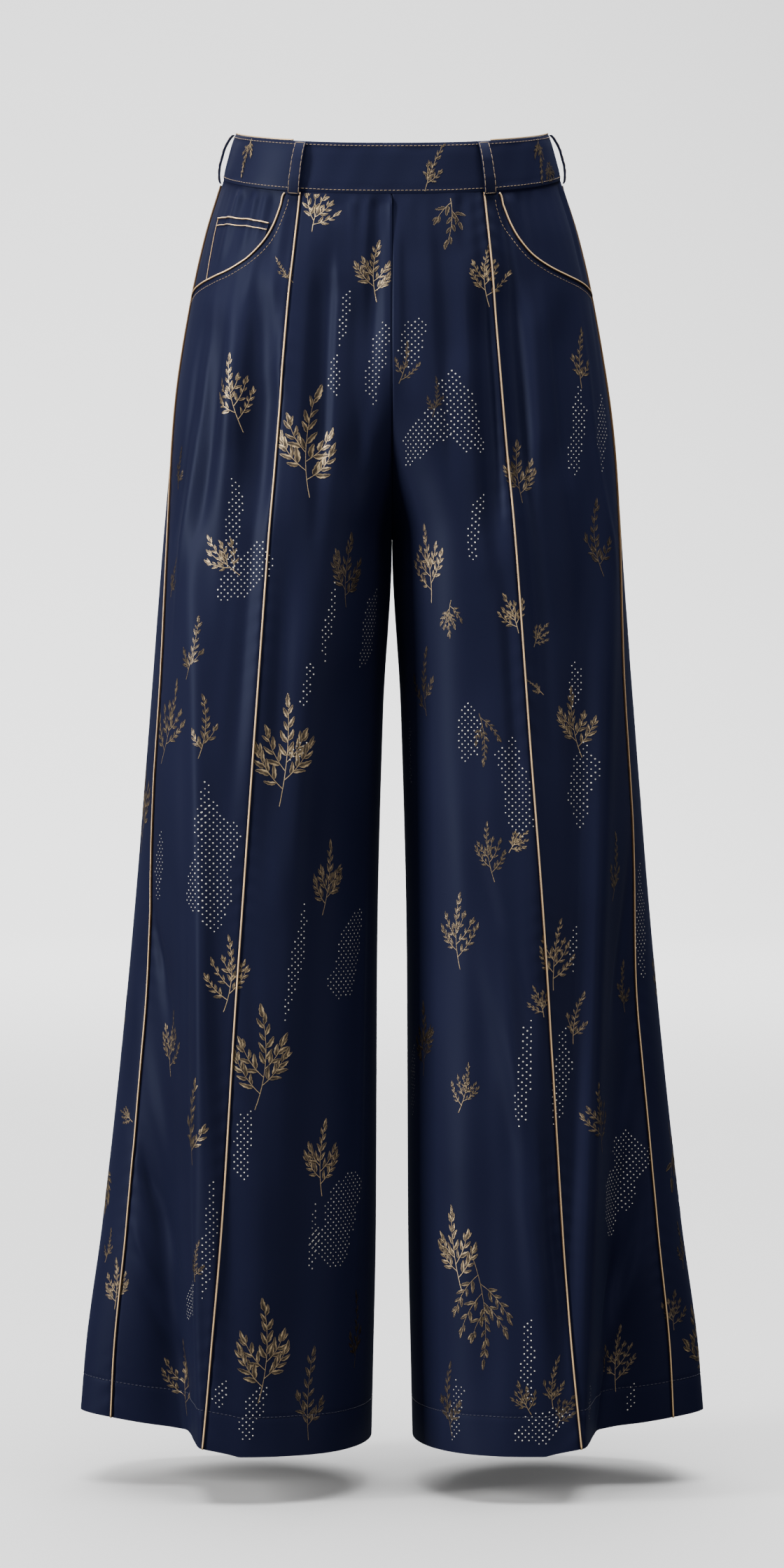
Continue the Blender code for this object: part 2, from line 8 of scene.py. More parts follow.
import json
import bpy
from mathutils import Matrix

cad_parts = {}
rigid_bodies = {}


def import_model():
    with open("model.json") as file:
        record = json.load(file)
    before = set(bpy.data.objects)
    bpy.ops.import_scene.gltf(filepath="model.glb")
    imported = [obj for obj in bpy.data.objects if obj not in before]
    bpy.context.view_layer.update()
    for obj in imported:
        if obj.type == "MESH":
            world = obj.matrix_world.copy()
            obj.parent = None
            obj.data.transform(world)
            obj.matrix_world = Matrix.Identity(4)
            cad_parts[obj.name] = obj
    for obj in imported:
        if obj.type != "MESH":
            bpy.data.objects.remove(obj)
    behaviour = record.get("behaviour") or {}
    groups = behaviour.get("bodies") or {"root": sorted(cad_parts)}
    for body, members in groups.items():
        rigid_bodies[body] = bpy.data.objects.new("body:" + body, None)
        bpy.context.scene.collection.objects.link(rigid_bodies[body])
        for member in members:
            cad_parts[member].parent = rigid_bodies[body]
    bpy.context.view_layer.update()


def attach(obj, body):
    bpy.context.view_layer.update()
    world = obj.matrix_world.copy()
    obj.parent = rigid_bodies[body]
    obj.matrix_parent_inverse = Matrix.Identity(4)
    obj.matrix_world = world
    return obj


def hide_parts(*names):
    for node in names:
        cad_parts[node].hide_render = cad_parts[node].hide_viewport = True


bl_info = {
    "name": "Palazzo Pants",
    "version": (1, 0, 0),
    "blender": (4, 5, 0),
    "location": "3D Viewport > Sidebar > Pants",
    "description": "Builds the cloth, piping, sewing and foil print of palazzo pants",
    "category": "Add Mesh",
}

import bpy
import numpy as np
from bpy.props import FloatProperty, FloatVectorProperty, IntProperty, PointerProperty
from mathutils import Vector

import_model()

# ---------------------------------------------------------------- the cut, as in the solids
CLOTH = 0.0012
BAND_WALL = 0.0022
BAND_PROUD = 0.0007     # how far the band stands out of the panels
BAND_TOP = 0.0210
BAND_SEAM = -0.0150
CROTCH_TOP = -0.170
CROTCH = -0.304
CROTCH_BEND = 1.5
EASE = 0.028            # reach of the softening past the crotch, and its steps
EASE_STEP = 0.002
HEM = -1.0195
HEM_DEPTH = 0.0310      # height of the stitch line above the hem's edge
HEM_LIFT_FROM = 0.120
HEM_LIFT_WIDTH = 0.130
FRONT_ROUND = 2.3
INNER_ROUND = 2.1
BACK_ROUND = 2.25
BACK_MIDDLE = 1.2       # x of the furthest line behind, over that of the front
SCOOP_FOOT = -0.122     # below it the side panel's rows are level
SCOOP_AREA = 0.0055     # what the scoop cuts off the side panel
YOKE_SINK = 0.0010
YOKE_UNDERLAP = 0.0110
COIN_MOUTH = -0.0443
COIN_RISE = 0.0008
COIN_BOW = 0.0022
COIN_OUTER = 0.710
COIN_OUTER_FOOT = 0.668
COIN_INNER = 0.205
COIN_PROUD = 0.0016
COIN_WALL = 0.0010
COIN_LIP = 0.0060       # from the mouth down to the lip's cord
LOOP_WIDTH = 0.0100
LOOP_WALL = 0.0018
LOOP_STAND = 0.0042

# ---------------------------------------------------------------- sewing, print and stage
PUCKER_HEIGHT = 0.00034
INSEAM_ROLL = (0.00085, 0.00085)    # depth and half-width of the cloth's turn at a seam
PIPED_ROLL = (0.0008, 0.0017)
BAND_STITCH = 0.0024                # stitches from the band's edges, and the pocket's
POCKET_STITCH = 0.0056
LEAF_OPEN = 0.60                    # radians from a twig to its leaves
STEM_WIDTH = 0.00026
FLOOR_Z = -1.058
WALL_Y = 7.6                        # where the floor starts to bend up, and how widely
BEND = 4.0
SENSOR = 36.0
LENS_SHARE = 7136 / 2240            # focal length over the sensor's longer side

# ---------------------------------------------------------------- tables of the cut

# A row for each level: z, half-width at the side, distance of the inner leg from the axis,
# depth in front and behind, x of the most forward line, share of the front depth that drops
# outside the ridge, x of that ridge, width over which it drops, x of the princess seam, how
# far the side seam runs forward of the side, fall of the waist in front, rise of the outer hem.
SECTION_COLUMNS = ("z", "out", "gap", "front", "back", "mid",
                   "drop", "ridge", "fall", "seam", "wrap", "dip", "lift")
SECTIONS = (
    (0.021, 0.1242, 0, 0.085, 0.093, 0, 0, 0.12, 0.09, 0.069, 0, 0.015, 0),
    (-0.015, 0.1342, 0, 0.09, 0.1, 0.003, 0, 0.125, 0.09, 0.0718, 0, 0.0193, 0),
    (-0.06, 0.148, 0, 0.097, 0.112, 0.012, 0, 0.135, 0.09, 0.076, 0, 0.013, 0),
    (-0.11, 0.1592, 0, 0.103, 0.122, 0.022, 0, 0.145, 0.09, 0.0806, 0.004, 0.004, 0),
    (-0.19, 0.172, 0, 0.109, 0.131, 0.04, 0.02, 0.155, 0.085, 0.0868, 0.018, 0, 0),
    (-0.304, 0.1825, 0, 0.113, 0.132, 0.064, 0.08, 0.16, 0.07, 0.096, 0.04, 0, 0),
    (-0.44, 0.1932, 0.007, 0.115, 0.127, 0.078, 0.16, 0.16, 0.055, 0.1058, 0.0515, 0, 0),
    (-0.64, 0.2101, 0.0118, 0.117, 0.124, 0.086, 0.26, 0.156, 0.045, 0.1196, 0.0536, 0, 0),
    (-0.85, 0.2317, 0.0128, 0.119, 0.125, 0.092, 0.42, 0.152, 0.033, 0.1331, 0.0492, 0, 0.007),
    (-0.96, 0.2455, 0.015, 0.12, 0.127, 0.096, 0.56, 0.15, 0.023, 0.1421, 0.0435, 0, 0.0165),
    (-1.0195, 0.2503, 0.0163, 0.121, 0.128, 0.1, 0.64, 0.149, 0.017, 0.1478, 0.0407, 0, 0.02),
)

# The largest folds. A row for each: the leg (-1 the wearer's right, 1 the left, 0 both),
# the face it is on (-1 front, 1 back), its x at the top and foot, its top and foot, how far
# it stands out (a trough is negative) and its half-width.
FOLD_COLUMNS = ("leg", "face", "x_top", "x_foot", "top", "foot", "height", "width")
FOLDS = (
    (-1, -1, 0.012, 0.018, -0.03, -0.17, -0.0016, 0.008),
    (-1, -1, 0.026, 0.03, -0.075, -0.29, -0.0045, 0.013),
    (-1, -1, 0.045, 0.044, -0.022, -0.11, 0.0015, 0.008),
    (-1, -1, 0.056, 0.06, -0.055, -0.27, -0.006, 0.011),
    (-1, -1, 0.092, 0.094, -0.07, -0.2, 0.003, 0.01),
    (-1, -1, 0.104, 0.106, -0.085, -0.3, -0.0055, 0.013),
    (-1, -1, 0.124, 0.128, -0.09, -0.24, 0.0028, 0.012),
    (-1, -1, 0.14, 0.146, -0.11, -0.23, -0.0026, 0.011),
    (1, -1, 0.01, 0.014, -0.03, -0.2, -0.0018, 0.008),
    (1, -1, 0.026, 0.034, -0.05, -0.26, 0.0024, 0.012),
    (1, -1, 0.046, 0.05, -0.024, -0.19, -0.003, 0.011),
    (1, -1, 0.07, 0.077, -0.07, -0.33, -0.006, 0.012),
    (1, -1, 0.092, 0.1, -0.06, -0.29, -0.005, 0.011),
    (1, -1, 0.112, 0.118, -0.09, -0.26, 0.003, 0.012),
    (1, -1, 0.134, 0.14, -0.1, -0.27, -0.0028, 0.011),
    (-1, -1, 0.162, 0.134, -0.14, -1.06, 0.0062, 0.01),
    (-1, -1, 0.04, 0.079, -0.33, -1.1, -0.006, 0.02),
    (-1, -1, 0.11, 0.116, -0.56, -1.1, 0.003, 0.016),
    (-1, -1, 0.183, 0.173, -0.48, -1.09, -0.0055, 0.016),
    (1, -1, 0.176, 0.142, -0.12, -1.06, 0.0065, 0.01),
    (1, -1, 0.066, 0.06, -0.3, -0.8, -0.004, 0.018),
    (1, -1, 0.106, 0.121, -0.44, -1.02, 0.006, 0.014),
    (1, -1, 0.072, 0.076, -0.6, -1.06, -0.004, 0.016),
    (1, -1, 0.155, 0.137, -0.14, -1.06, -0.003, 0.011),
    (1, -1, 0.186, 0.178, -0.52, -1.09, -0.006, 0.015),
    (0, 1, 0.03, 0.04, -0.05, -0.23, 0.0022, 0.012),
    (0, 1, 0.075, 0.072, -0.04, -0.3, -0.003, 0.014),
    (-1, 1, 0.05, 0.062, -0.33, -1.1, -0.006, 0.02),
    (-1, 1, 0.112, 0.124, -0.28, -1.1, 0.005, 0.022),
    (-1, 1, 0.165, 0.19, -0.42, -1.1, -0.005, 0.018),
    (1, 1, 0.058, 0.05, -0.3, -1.1, -0.0055, 0.019),
    (1, 1, 0.104, 0.11, -0.36, -1.1, 0.005, 0.021),
    (1, 1, 0.16, 0.182, -0.38, -1.1, -0.0055, 0.019),
)

# The scooped pocket edge: share of the front side panel's width at which it lies, and height.
SCOOP = (
    (0.115, -0.0165), (0.135, -0.028), (0.165, -0.045), (0.21, -0.059), (0.295, -0.074),
    (0.405, -0.0845), (0.54, -0.092), (0.7, -0.098), (0.86, -0.1035), (1, -0.1085),
)

# ---------------------------------------------------------------- finer folds of the cloth
# A row for each crease: the leg, the distance round the cloth from the princess seam and the
# height at its two ends, how far it stands out and its half-width.
CREASE_COLUMNS = ("leg", "u_top", "z_top", "u_foot", "z_foot", "height", "width")
CREASES = (
    # troughs beside the princess seams, above the knee
    (-1, 0.012, -0.075, 0.016, -0.52, -0.005, 0.01),
    (-1, 0.025, -0.16, 0.031, -0.44, -0.0024, 0.009), (-1, 0.036, -0.1, 0.046, -0.3, 0.0028, 0.01),
    (-1, -0.066, -0.09, -0.07, -0.28, -0.002, 0.008),
    (1, -0.013, -0.1, -0.015, -0.33, -0.0022, 0.007),
    (1, 0.012, -0.1, 0.016, -0.48, -0.0042, 0.009), (1, 0.06, -0.11, 0.068, -0.3, -0.0018, 0.009),
    (1, -0.052, -0.06, -0.056, -0.23, -0.0014, 0.008),
    (1, -0.072, -0.04, -0.078, -0.16, 0.0012, 0.007),
    (-1, -0.052, -0.035, -0.055, -0.12, 0.001, 0.006),
    # narrow folds from the waist down over the hips
    (-1, -0.029, -0.06, -0.037, -0.31, -0.0034, 0.0065),
    (-1, -0.014, -0.04, -0.018, -0.3, 0.001, 0.006),
    (-1, -0.042, -0.06, -0.05, -0.31, -0.0018, 0.011),
    (-1, 0.053, -0.115, 0.064, -0.32, -0.0022, 0.006),
    (-1, 0.068, -0.12, 0.082, -0.38, 0.002, 0.005),
    (-1, 0.082, -0.13, 0.092, -0.3, -0.0018, 0.005),
    (1, 0.006, -0.06, 0.01, -0.3, -0.0028, 0.0065),
    (1, -0.007, -0.05, -0.009, -0.3, -0.0022, 0.005),
    (1, -0.023, -0.035, -0.026, -0.34, 0.0026, 0.008),
    (1, -0.04, -0.045, -0.046, -0.26, -0.002, 0.006),
    (1, 0.026, -0.095, 0.034, -0.46, -0.0024, 0.014),
    (1, 0.048, -0.11, 0.056, -0.3, -0.0022, 0.006), (1, 0.08, -0.125, 0.092, -0.33, 0.0018, 0.005),
    # wearer's right: soft diagonals that fall from the side seam
    (-1, 0.118, -0.56, 0.07, -0.7, -0.003, 0.0075),
    (-1, 0.126, -0.64, 0.082, -0.8, 0.0026, 0.0075),
    (-1, 0.128, -0.72, 0.074, -0.885, -0.0034, 0.008),
    (-1, 0.122, -0.82, 0.08, -0.96, 0.0026, 0.007), (-1, 0.104, -0.9, 0.06, -1.01, -0.0028, 0.007),
    (-1, 0.06, -0.35, 0.052, -0.56, -0.0012, 0.009),
    # beside the princess seam
    (-1, -0.016, -0.32, -0.021, -0.56, -0.0048, 0.011),
    (-1, 0.034, -0.56, 0.01, -0.98, 0.0024, 0.006),
    (-1, 0.05, -0.56, 0.028, -0.98, -0.0022, 0.008),
    (-1, -0.014, -0.47, -0.03, -0.6, 0.0012, 0.007),
    (-1, -0.008, -0.61, -0.022, -0.76, -0.0013, 0.007),
    (-1, -0.026, -0.78, -0.04, -0.96, 0.0012, 0.012),
    (-1, -0.12, -0.56, -0.128, -0.9, 0.0014, 0.005),
    (-1, 0.112, -0.58, 0.086, -0.65, -0.002, 0.0045),
    (-1, 0.12, -0.765, 0.092, -0.83, -0.0022, 0.005),
    (-1, 0.116, -0.86, 0.09, -0.915, -0.002, 0.0045),
    # wearer's left: diagonals that fall towards the princess seam
    (1, -0.01, -0.33, -0.012, -0.52, -0.0026, 0.006),
    (1, -0.03, -0.58, -0.025, -0.9, 0.0032, 0.008),
    (1, -0.008, -0.76, -0.007, -0.93, -0.0022, 0.005),
    (1, -0.046, -0.56, -0.008, -0.7, -0.002, 0.009),
    (1, -0.052, -0.62, -0.012, -0.79, 0.0018, 0.009),
    (1, -0.04, -0.74, -0.006, -0.88, -0.0016, 0.009),
    (1, -0.06, -0.5, -0.068, -0.76, 0.0016, 0.012), (1, 0.112, -0.52, 0.07, -0.69, -0.0028, 0.008),
    (1, 0.124, -0.64, 0.078, -0.82, 0.0024, 0.008),
    (1, 0.118, -0.78, 0.074, -0.93, -0.0028, 0.008), (1, 0.1, -0.88, 0.064, -1.01, 0.0022, 0.007),
    # under the seat, behind
    (0, 0.25, -0.18, 0.2, -0.29, -0.0022, 0.01), (0, 0.232, -0.22, 0.184, -0.35, 0.0018, 0.01),
    (0, 0.262, -0.25, 0.222, -0.4, -0.0018, 0.01), (-1, 0.2, -0.6, 0.18, -0.86, 0.0018, 0.012),
    (1, 0.21, -0.56, 0.192, -0.82, -0.0018, 0.012),
)

# Small gathers that hang from the waist seam: distance between crests, height, and where
# their waves start on each leg.
GATHERS = ((0.0113, 0.00060, 0.2, 2.1), (0.0178, 0.00120, 1.9, 4.4), (0.0297, 0.00190, 4.0, 0.7))

# ---------------------------------------------------------------- foil print
# A row for each sprig: the leg, its middle (s, z), height, turn from upright in degrees, kind and
# brightness. The brightness is partly the print's own faintness and partly painted shade, darker
# where the sprig lies in shade.
SPRIG_COLUMNS = ("leg", "s", "z", "height", "turn", "kind", "tone")
SPRIGS = (
    (-1, 0.775, -0.031, 0.04, 22, "spray", 1.05), (1, 0.6, -0.037, 0.043, 184, "outline", 0.78),
    (-1, 0.185, -0.0892, 0.052, 3, "branch", 0.9), (1, 0.985, -0.092, 0.054, 2, "fine", 1),
    (-1, 1.04, -0.0877, 0.026, -30, "frond", 0.66), (1, 1.58, -0.1621, 0.045, 5, "frond", 0.8),
    (-1, 1.3, -0.1919, 0.058, -8, "fine", 1), (-1, 0.775, -0.2321, 0.079, 5, "branch", 0.95),
    (1, 0.135, -0.168, 0.032, 10, "fork", 0.6), (1, 0.395, -0.1948, 0.029, 5, "frond", 0.4),
    (-1, 1.795, -0.2484, 0.031, 10, "frond", 0.42), (1, 1.075, -0.2529, 0.044, -5, "branch", 0.68),
    (-1, 1.33, -0.3184, 0.036, -40, "spray", 0.98), (-1, 1.83, -0.3348, 0.03, 20, "frond", 0.6),
    (-1, 0.625, -0.3303, 0.053, 8, "branch", 0.52), (1, 0.57, -0.3243, 0.058, -12, "fine", 0.92),
    (1, 1.68, -0.305, 0.056, 0, "frond", 0.46), (1, 0.68, -0.3645, 0.026, 182, "spray", 0.6),
    (1, 0.97, -0.363, 0.029, -22, "spray", 0.98), (1, 1.145, -0.3794, 0.02, 34, "spray", 0.7),
    (-1, 1.54, -0.3913, 0.046, 12, "frond", 0.6), (1, 0.465, -0.4166, 0.05, 4, "fork", 0.48),
    (1, 1.075, -0.4196, 0.018, -52, "frond", 0.78), (-1, 1.79, -0.4494, 0.064, 14, "fine", 0.84),
    (-1, 1.39, -0.4524, 0.046, 3, "frond", 0.74), (-1, 0.865, -0.4732, 0.078, 4, "branch", 0.88),
    (1, 1.395, -0.4494, 0.05, -8, "branch", 0.78), (1, 0.81, -0.4583, 0.038, 176, "fork", 0.55),
    (-1, 0.61, -0.5714, 0.053, 6, "branch", 0.74), (1, 0.795, -0.5491, 0.044, -6, "fine", 0.6),
    (1, 0.915, -0.5402, 0.02, 42, "spray", 0.98), (1, 1.655, -0.5625, 0.05, 6, "frond", 0.7),
    (1, 0.625, -0.6116, 0.056, 2, "fine", 0.68), (1, 1.09, -0.6295, 0.052, 8, "fine", 0.84),
    (-1, 1.075, -0.6444, 0.056, 2, "fine", 1), (1, 1.86, -0.6578, 0.038, 0, "frond", 0.6),
    (1, 0.96, -0.6652, 0.023, -20, "spray", 0.8), (1, 1.205, -0.6786, 0.038, 12, "frond", 0.7),
    (-1, 1.66, -0.7024, 0.05, 6, "fine", 0.86), (-1, 0.88, -0.7114, 0.074, 2, "branch", 0.88),
    (1, 0.37, -0.6995, 0.053, 0, "branch", 0.48), (1, 0.62, -0.7337, 0.038, 12, "fine", 0.68),
    (-1, 1.255, -0.762, 0.063, 4, "frond", 0.84), (1, 1.34, -0.759, 0.053, -7, "fine", 0.74),
    (-1, 0.595, -0.7903, 0.054, 4, "branch", 0.88), (-1, 2.03, -0.7635, 0.018, -68, "spray", 0.78),
    (-1, 2.045, -0.8736, 0.028, 4, "frond", 0.7), (-1, 2.01, -0.9064, 0.04, -6, "branch", 0.8),
    (-1, 1.14, -0.8706, 0.031, 6, "frond", 0.52), (1, 0.56, -0.862, 0.06, -8, "branch", 0.98),
    (1, 0.655, -0.905, 0.082, 176, "fine", 0.66), (1, 2.065, -0.8751, 0.038, 0, "frond", 0.6),
    (1, 2.02, -0.9302, 0.031, 10, "spray", 0.6), (-1, 0.805, -0.9406, 0.073, 2, "branch", 0.9),
    (-1, 1.56, -0.978, 0.058, -2, "fine", 0.86), (1, 1.675, -0.965, 0.052, 5, "fine", 0.76),
    (-1, 0.6, -0.975, 0.066, 4, "frond", 0.52), (-1, 0.36, -0.9287, 0.056, 0, "frond", 0.46),
    (1, 0.81, -0.9748, 0.025, -22, "spray", 0.78), (1, 0.92, -0.964, 0.038, 8, "frond", 0.76),
    (1, 0.95, -0.9868, 0.025, 34, "spray", 0.6), (1, 0.49, -0.98, 0.054, 0, "frond", 0.46),
)
BAND_SPRIGS = (
    (-1, 1.52, 0.008, 0.03, 194, "frond", 0.8), (1, 0.46, 0.003, 0.036, 26, "frond", 0.75),
    (1, 1.545, 0.006, 0.034, 186, "frond", 0.75), (1, 1.64, -0.006, 0.022, 170, "spray", 0.62),
    (-1, 2.42, 0.006, 0.026, 15, "frond", 0.62), (1, 2.3, 0.004, 0.026, -20, "spray", 0.62),
    (1, 2.8, 0.005, 0.028, 8, "frond", 0.62),
)

# A row for each patch of pin dots: the leg, its middle (s, z), half-width, half-height, how far
# its top leans towards the wearer's left, and brightness. The brightness is partly the print's own
# faintness and partly painted shade, darker where the patch lies in shade.
DOT_COLUMNS = ("leg", "s", "z", "half_width", "half_height", "lean", "tone")
DOTS = (
    (-1, 0.455, -0.129, 0.0042, 0.022, 0.001, 1.02), (-1, 0.53, -0.174, 0.006, 0.02, -0.002, 0.95),
    (-1, 0.135, -0.165, 0.0085, 0.032, 0.002, 0.83), (1, 0.2, -0.148, 0.0105, 0.019, 0, 0.85),
    (1, 0.33, -0.222, 0.018, 0.023, 0.004, 0.98), (1, 0.64, -0.208, 0.014, 0.036, -0.015, 1.02),
    (1, 0.805, -0.296, 0.0052, 0.03, 0.002, 1.05), (1, 1.53, -0.222, 0.008, 0.038, 0.002, 0.95),
    (1, 1.775, -0.217, 0.009, 0.031, 0, 0.8), (-1, 1.275, -0.29, 0.0062, 0.038, 0, 1.02),
    (-1, 1.175, -0.33, 0.021, 0.023, 0.004, 0.98), (-1, 0.7, -0.367, 0.0042, 0.03, 0.003, 1.02),
    (-1, 0.78, -0.418, 0.0042, 0.02, 0.002, 1.05), (-1, 0.43, -0.372, 0.0125, 0.032, 0.003, 0.78),
    (-1, 0.8, -0.468, 0.007, 0.009, 0.002, 1), (1, 1.41, -0.415, 0.007, 0.019, 0, 0.98),
    (1, 0.72, -0.452, 0.011, 0.024, -0.004, 0.98), (1, 0.915, -0.495, 0.012, 0.042, -0.012, 0.95),
    (1, 1.395, -0.495, 0.0105, 0.036, 0, 0.83), (-1, 1.245, -0.56, 0.02, 0.05, -0.004, 0.98),
    (-1, 1.335, -0.513, 0.0052, 0.022, 0, 0.85), (-1, 0.76, -0.632, 0.0062, 0.045, 0.006, 0.95),
    (-1, 0.47, -0.625, 0.016, 0.038, 0.004, 0.8), (1, 0.885, -0.723, 0.006, 0.042, 0.001, 1),
    (1, 1.06, -0.723, 0.0082, 0.041, 0.001, 0.95), (-1, 0.935, -0.775, 0.009, 0.026, 0, 1.02),
    (1, 1.72, -0.811, 0.023, 0.04, 0.005, 0.98), (-1, 0.48, -0.835, 0.022, 0.04, 0.004, 0.85),
    (-1, 1.275, -0.904, 0.014, 0.017, 0.003, 0.98),
    (-1, 1.075, -0.848, 0.0052, 0.046, 0.002, 0.78), (-1, 1.46, -0.991, 0.0042, 0.005, 0, 1),
    (-1, 0.955, -0.972, 0.0062, 0.012, 0, 0.95), (1, 0.83, -0.942, 0.0056, 0.034, -0.003, 1.02),
    (1, 0.86, -0.996, 0.02, 0.016, 0, 1), (1, 0.52, -0.985, 0.007, 0.026, 0.001, 0.75),
    (-1, 0.83, -0.985, 0.009, 0.022, 0.002, 0.93), (1, 0.29, -0.47, 0.0032, 0.026, 0, 0.73),
    (1, 0.23, -0.73, 0.0062, 0.03, 0, 0.75), (1, 1.76, -0.996, 0.0042, 0.012, 0, 0.9),
    (1, 2.03, -0.603, 0.0085, 0.05, 0, 0.85), (1, 1.23, -0.62, 0.004, 0.018, 0, 0.85),
    (-1, 1.87, -0.56, 0.007, 0.03, 0, 0.8), (-1, 0.62, -0.85, 0.0042, 0.03, 0.001, 0.78),
    (1, 1.13, -0.985, 0.0042, 0.016, 0, 0.8),
)

FOIL_HEIGHT = 0.00016
SIDES = (("right", -1), ("left", 1))
PANEL_STEPS = 120       # steps of a leg's own grid across each panel
RING_POINTS = 120       # points of each quarter of a section


# ---------------------------------------------------------------- shared sums
def smooth(t):
    """A soft step: three t squared less two t cubed, held at 0 and 1 outside."""
    t = np.clip(t, 0, 1)
    return t * t * (3 - 2 * t)


def bell(distance, width):
    """e to the power of minus the square of the distance over the width."""
    return np.exp(-(distance / width)**2)


def hermite(t, low, high, slope_low, slope_high):
    """A cubic curve from one value to another, with its slope at each."""
    return ((2 * t**3 - 3 * t**2 + 1) * low + (t**3 - 2 * t**2 + t) * slope_low
            + (3 * t**2 - 2 * t**3) * high + (t**3 - t**2) * slope_high)


def between(keys, z):
    """The key below each z, and the share of the way from it to the next."""
    row = np.clip(np.searchsorted(keys, z) - 1, 0, len(keys) - 2)
    return row, (z - keys[row]) / (keys[row + 1] - keys[row])


def unit(vectors):
    """Vectors over their lengths."""
    return vectors / np.linalg.norm(vectors, axis=-1, keepdims=True)


def travelled(line):
    """Distance along a line of points from its first to each of them."""
    return np.concatenate([[0], np.cumsum(np.linalg.norm(np.diff(line, axis=0), axis=1))])


def pair(first, second):
    """Two arrays side by side along a new last axis."""
    return np.stack(np.broadcast_arrays(first, second), axis=-1)


def rows_for(table, names, side):
    """The rows of a table that are for one leg or for both, as dictionaries."""
    return [dict(zip(names, row)) for row in table if row[0] in (0, side)]


# ---------------------------------------------------------------- the cloth of one leg
def levels(z):
    """The columns of the sections at the heights z: cubic curves through the rows, whose
    slopes are harmonic means of the neighbouring rows' slopes."""
    rows = np.array(SECTIONS)[::-1]
    keys = rows[:, 0]
    row, t = between(keys, z)
    t, step = np.clip(t, 0, 1), keys[row + 1] - keys[row]
    out = {"z": z}
    for name, value in zip(SECTION_COLUMNS[1:], rows.T[1:]):
        secant = np.diff(value) / np.diff(keys)
        below, above = secant[:-1], secant[1:]
        same = above * below > 0
        slope = np.concatenate([secant[:1], np.zeros(len(keys) - 2), secant[-1:]])
        slope[1:-1][same] = 2 * above[same] * below[same] / (above + below)[same]
        slope = slope[row] * step, slope[row + 1] * step
        out[name] = hermite(t, value[row], value[row + 1], *slope)
    return out


def inner_quarter(row, middle, depth, reach):
    """A quarter of a rounded ring: x and y are powers of the cosine and sine of a turn, and
    above the crotch the turn starts where the ring meets the centre plane."""
    power = 2 / INNER_ROUND
    start = np.arcsin(min(reach, 0.99999)**(1 / power))
    turn = start + (np.pi / 2 - start) * np.linspace(0, 1, RING_POINTS)
    ratio = np.clip(np.cos(turn) / np.cos(start), 0, 1)**power
    return np.column_stack([middle - (middle - row["gap"]) * ratio, depth * np.sin(turn)**power])


def outer_quarter(row, middle, power):
    """x as a power of the sine of a turn, and the fall of the ring as that of its cosine."""
    turn = np.linspace(0, np.pi / 2, RING_POINTS)
    return middle + (row["out"] - middle) * np.sin(turn)**power, np.clip(np.cos(turn), 0, 1)**power


def section(row):
    """Points round one level section, and the arc lengths of its seams: four quarters of
    rounded rings, the front outer one blended with a soft step at the ridge."""
    under = np.clip((CROTCH_TOP - row["z"]) / (CROTCH_TOP - CROTCH), 0, 1)
    reach = np.sqrt(1 - under**CROTCH_BEND)
    front = inner_quarter(row, row["mid"], -row["front"], reach)
    x, fall = outer_quarter(row, row["mid"], 2 / FRONT_ROUND)
    step = 1 - smooth((x - row["ridge"]) / row["fall"])
    fall = (1 - row["drop"]) * fall + row["drop"] * step
    front = np.vstack([front, np.column_stack([x, -row["front"] * fall])[1:]])
    middle = row["mid"] * BACK_MIDDLE
    x, fall = outer_quarter(row, middle, 2 / BACK_ROUND)
    back = inner_quarter(row, middle, row["back"], reach)
    back = np.vstack([back, np.column_stack([x, row["back"] * fall])[1:]])[::-1]
    points = np.vstack([front, back[1:]])
    arc = travelled(points)
    count = len(front)
    seam = np.interp(row["seam"], front[:, 0] + np.arange(count) * 1e-9, arc[:count])
    return points, arc, (0.0, seam, arc[count - 1] - row["wrap"], arc[-1])


def fold_heights(leg, x, y, z):
    """The sum of the folds: each is a bell across its line, faded at its two ends."""
    total = np.zeros(x.shape)
    for fold in rows_for(FOLDS, FOLD_COLUMNS, leg):
        along = (fold["top"] - z) / (fold["top"] - fold["foot"])
        middle = fold["x_top"] + (fold["x_foot"] - fold["x_top"]) * along
        ends = smooth(along / 0.3) * smooth((1 - along) / 0.25)
        face = smooth(fold["face"] * y / 0.02)
        total += fold["height"] * ends * face * bell(x - middle, fold["width"])
    return total


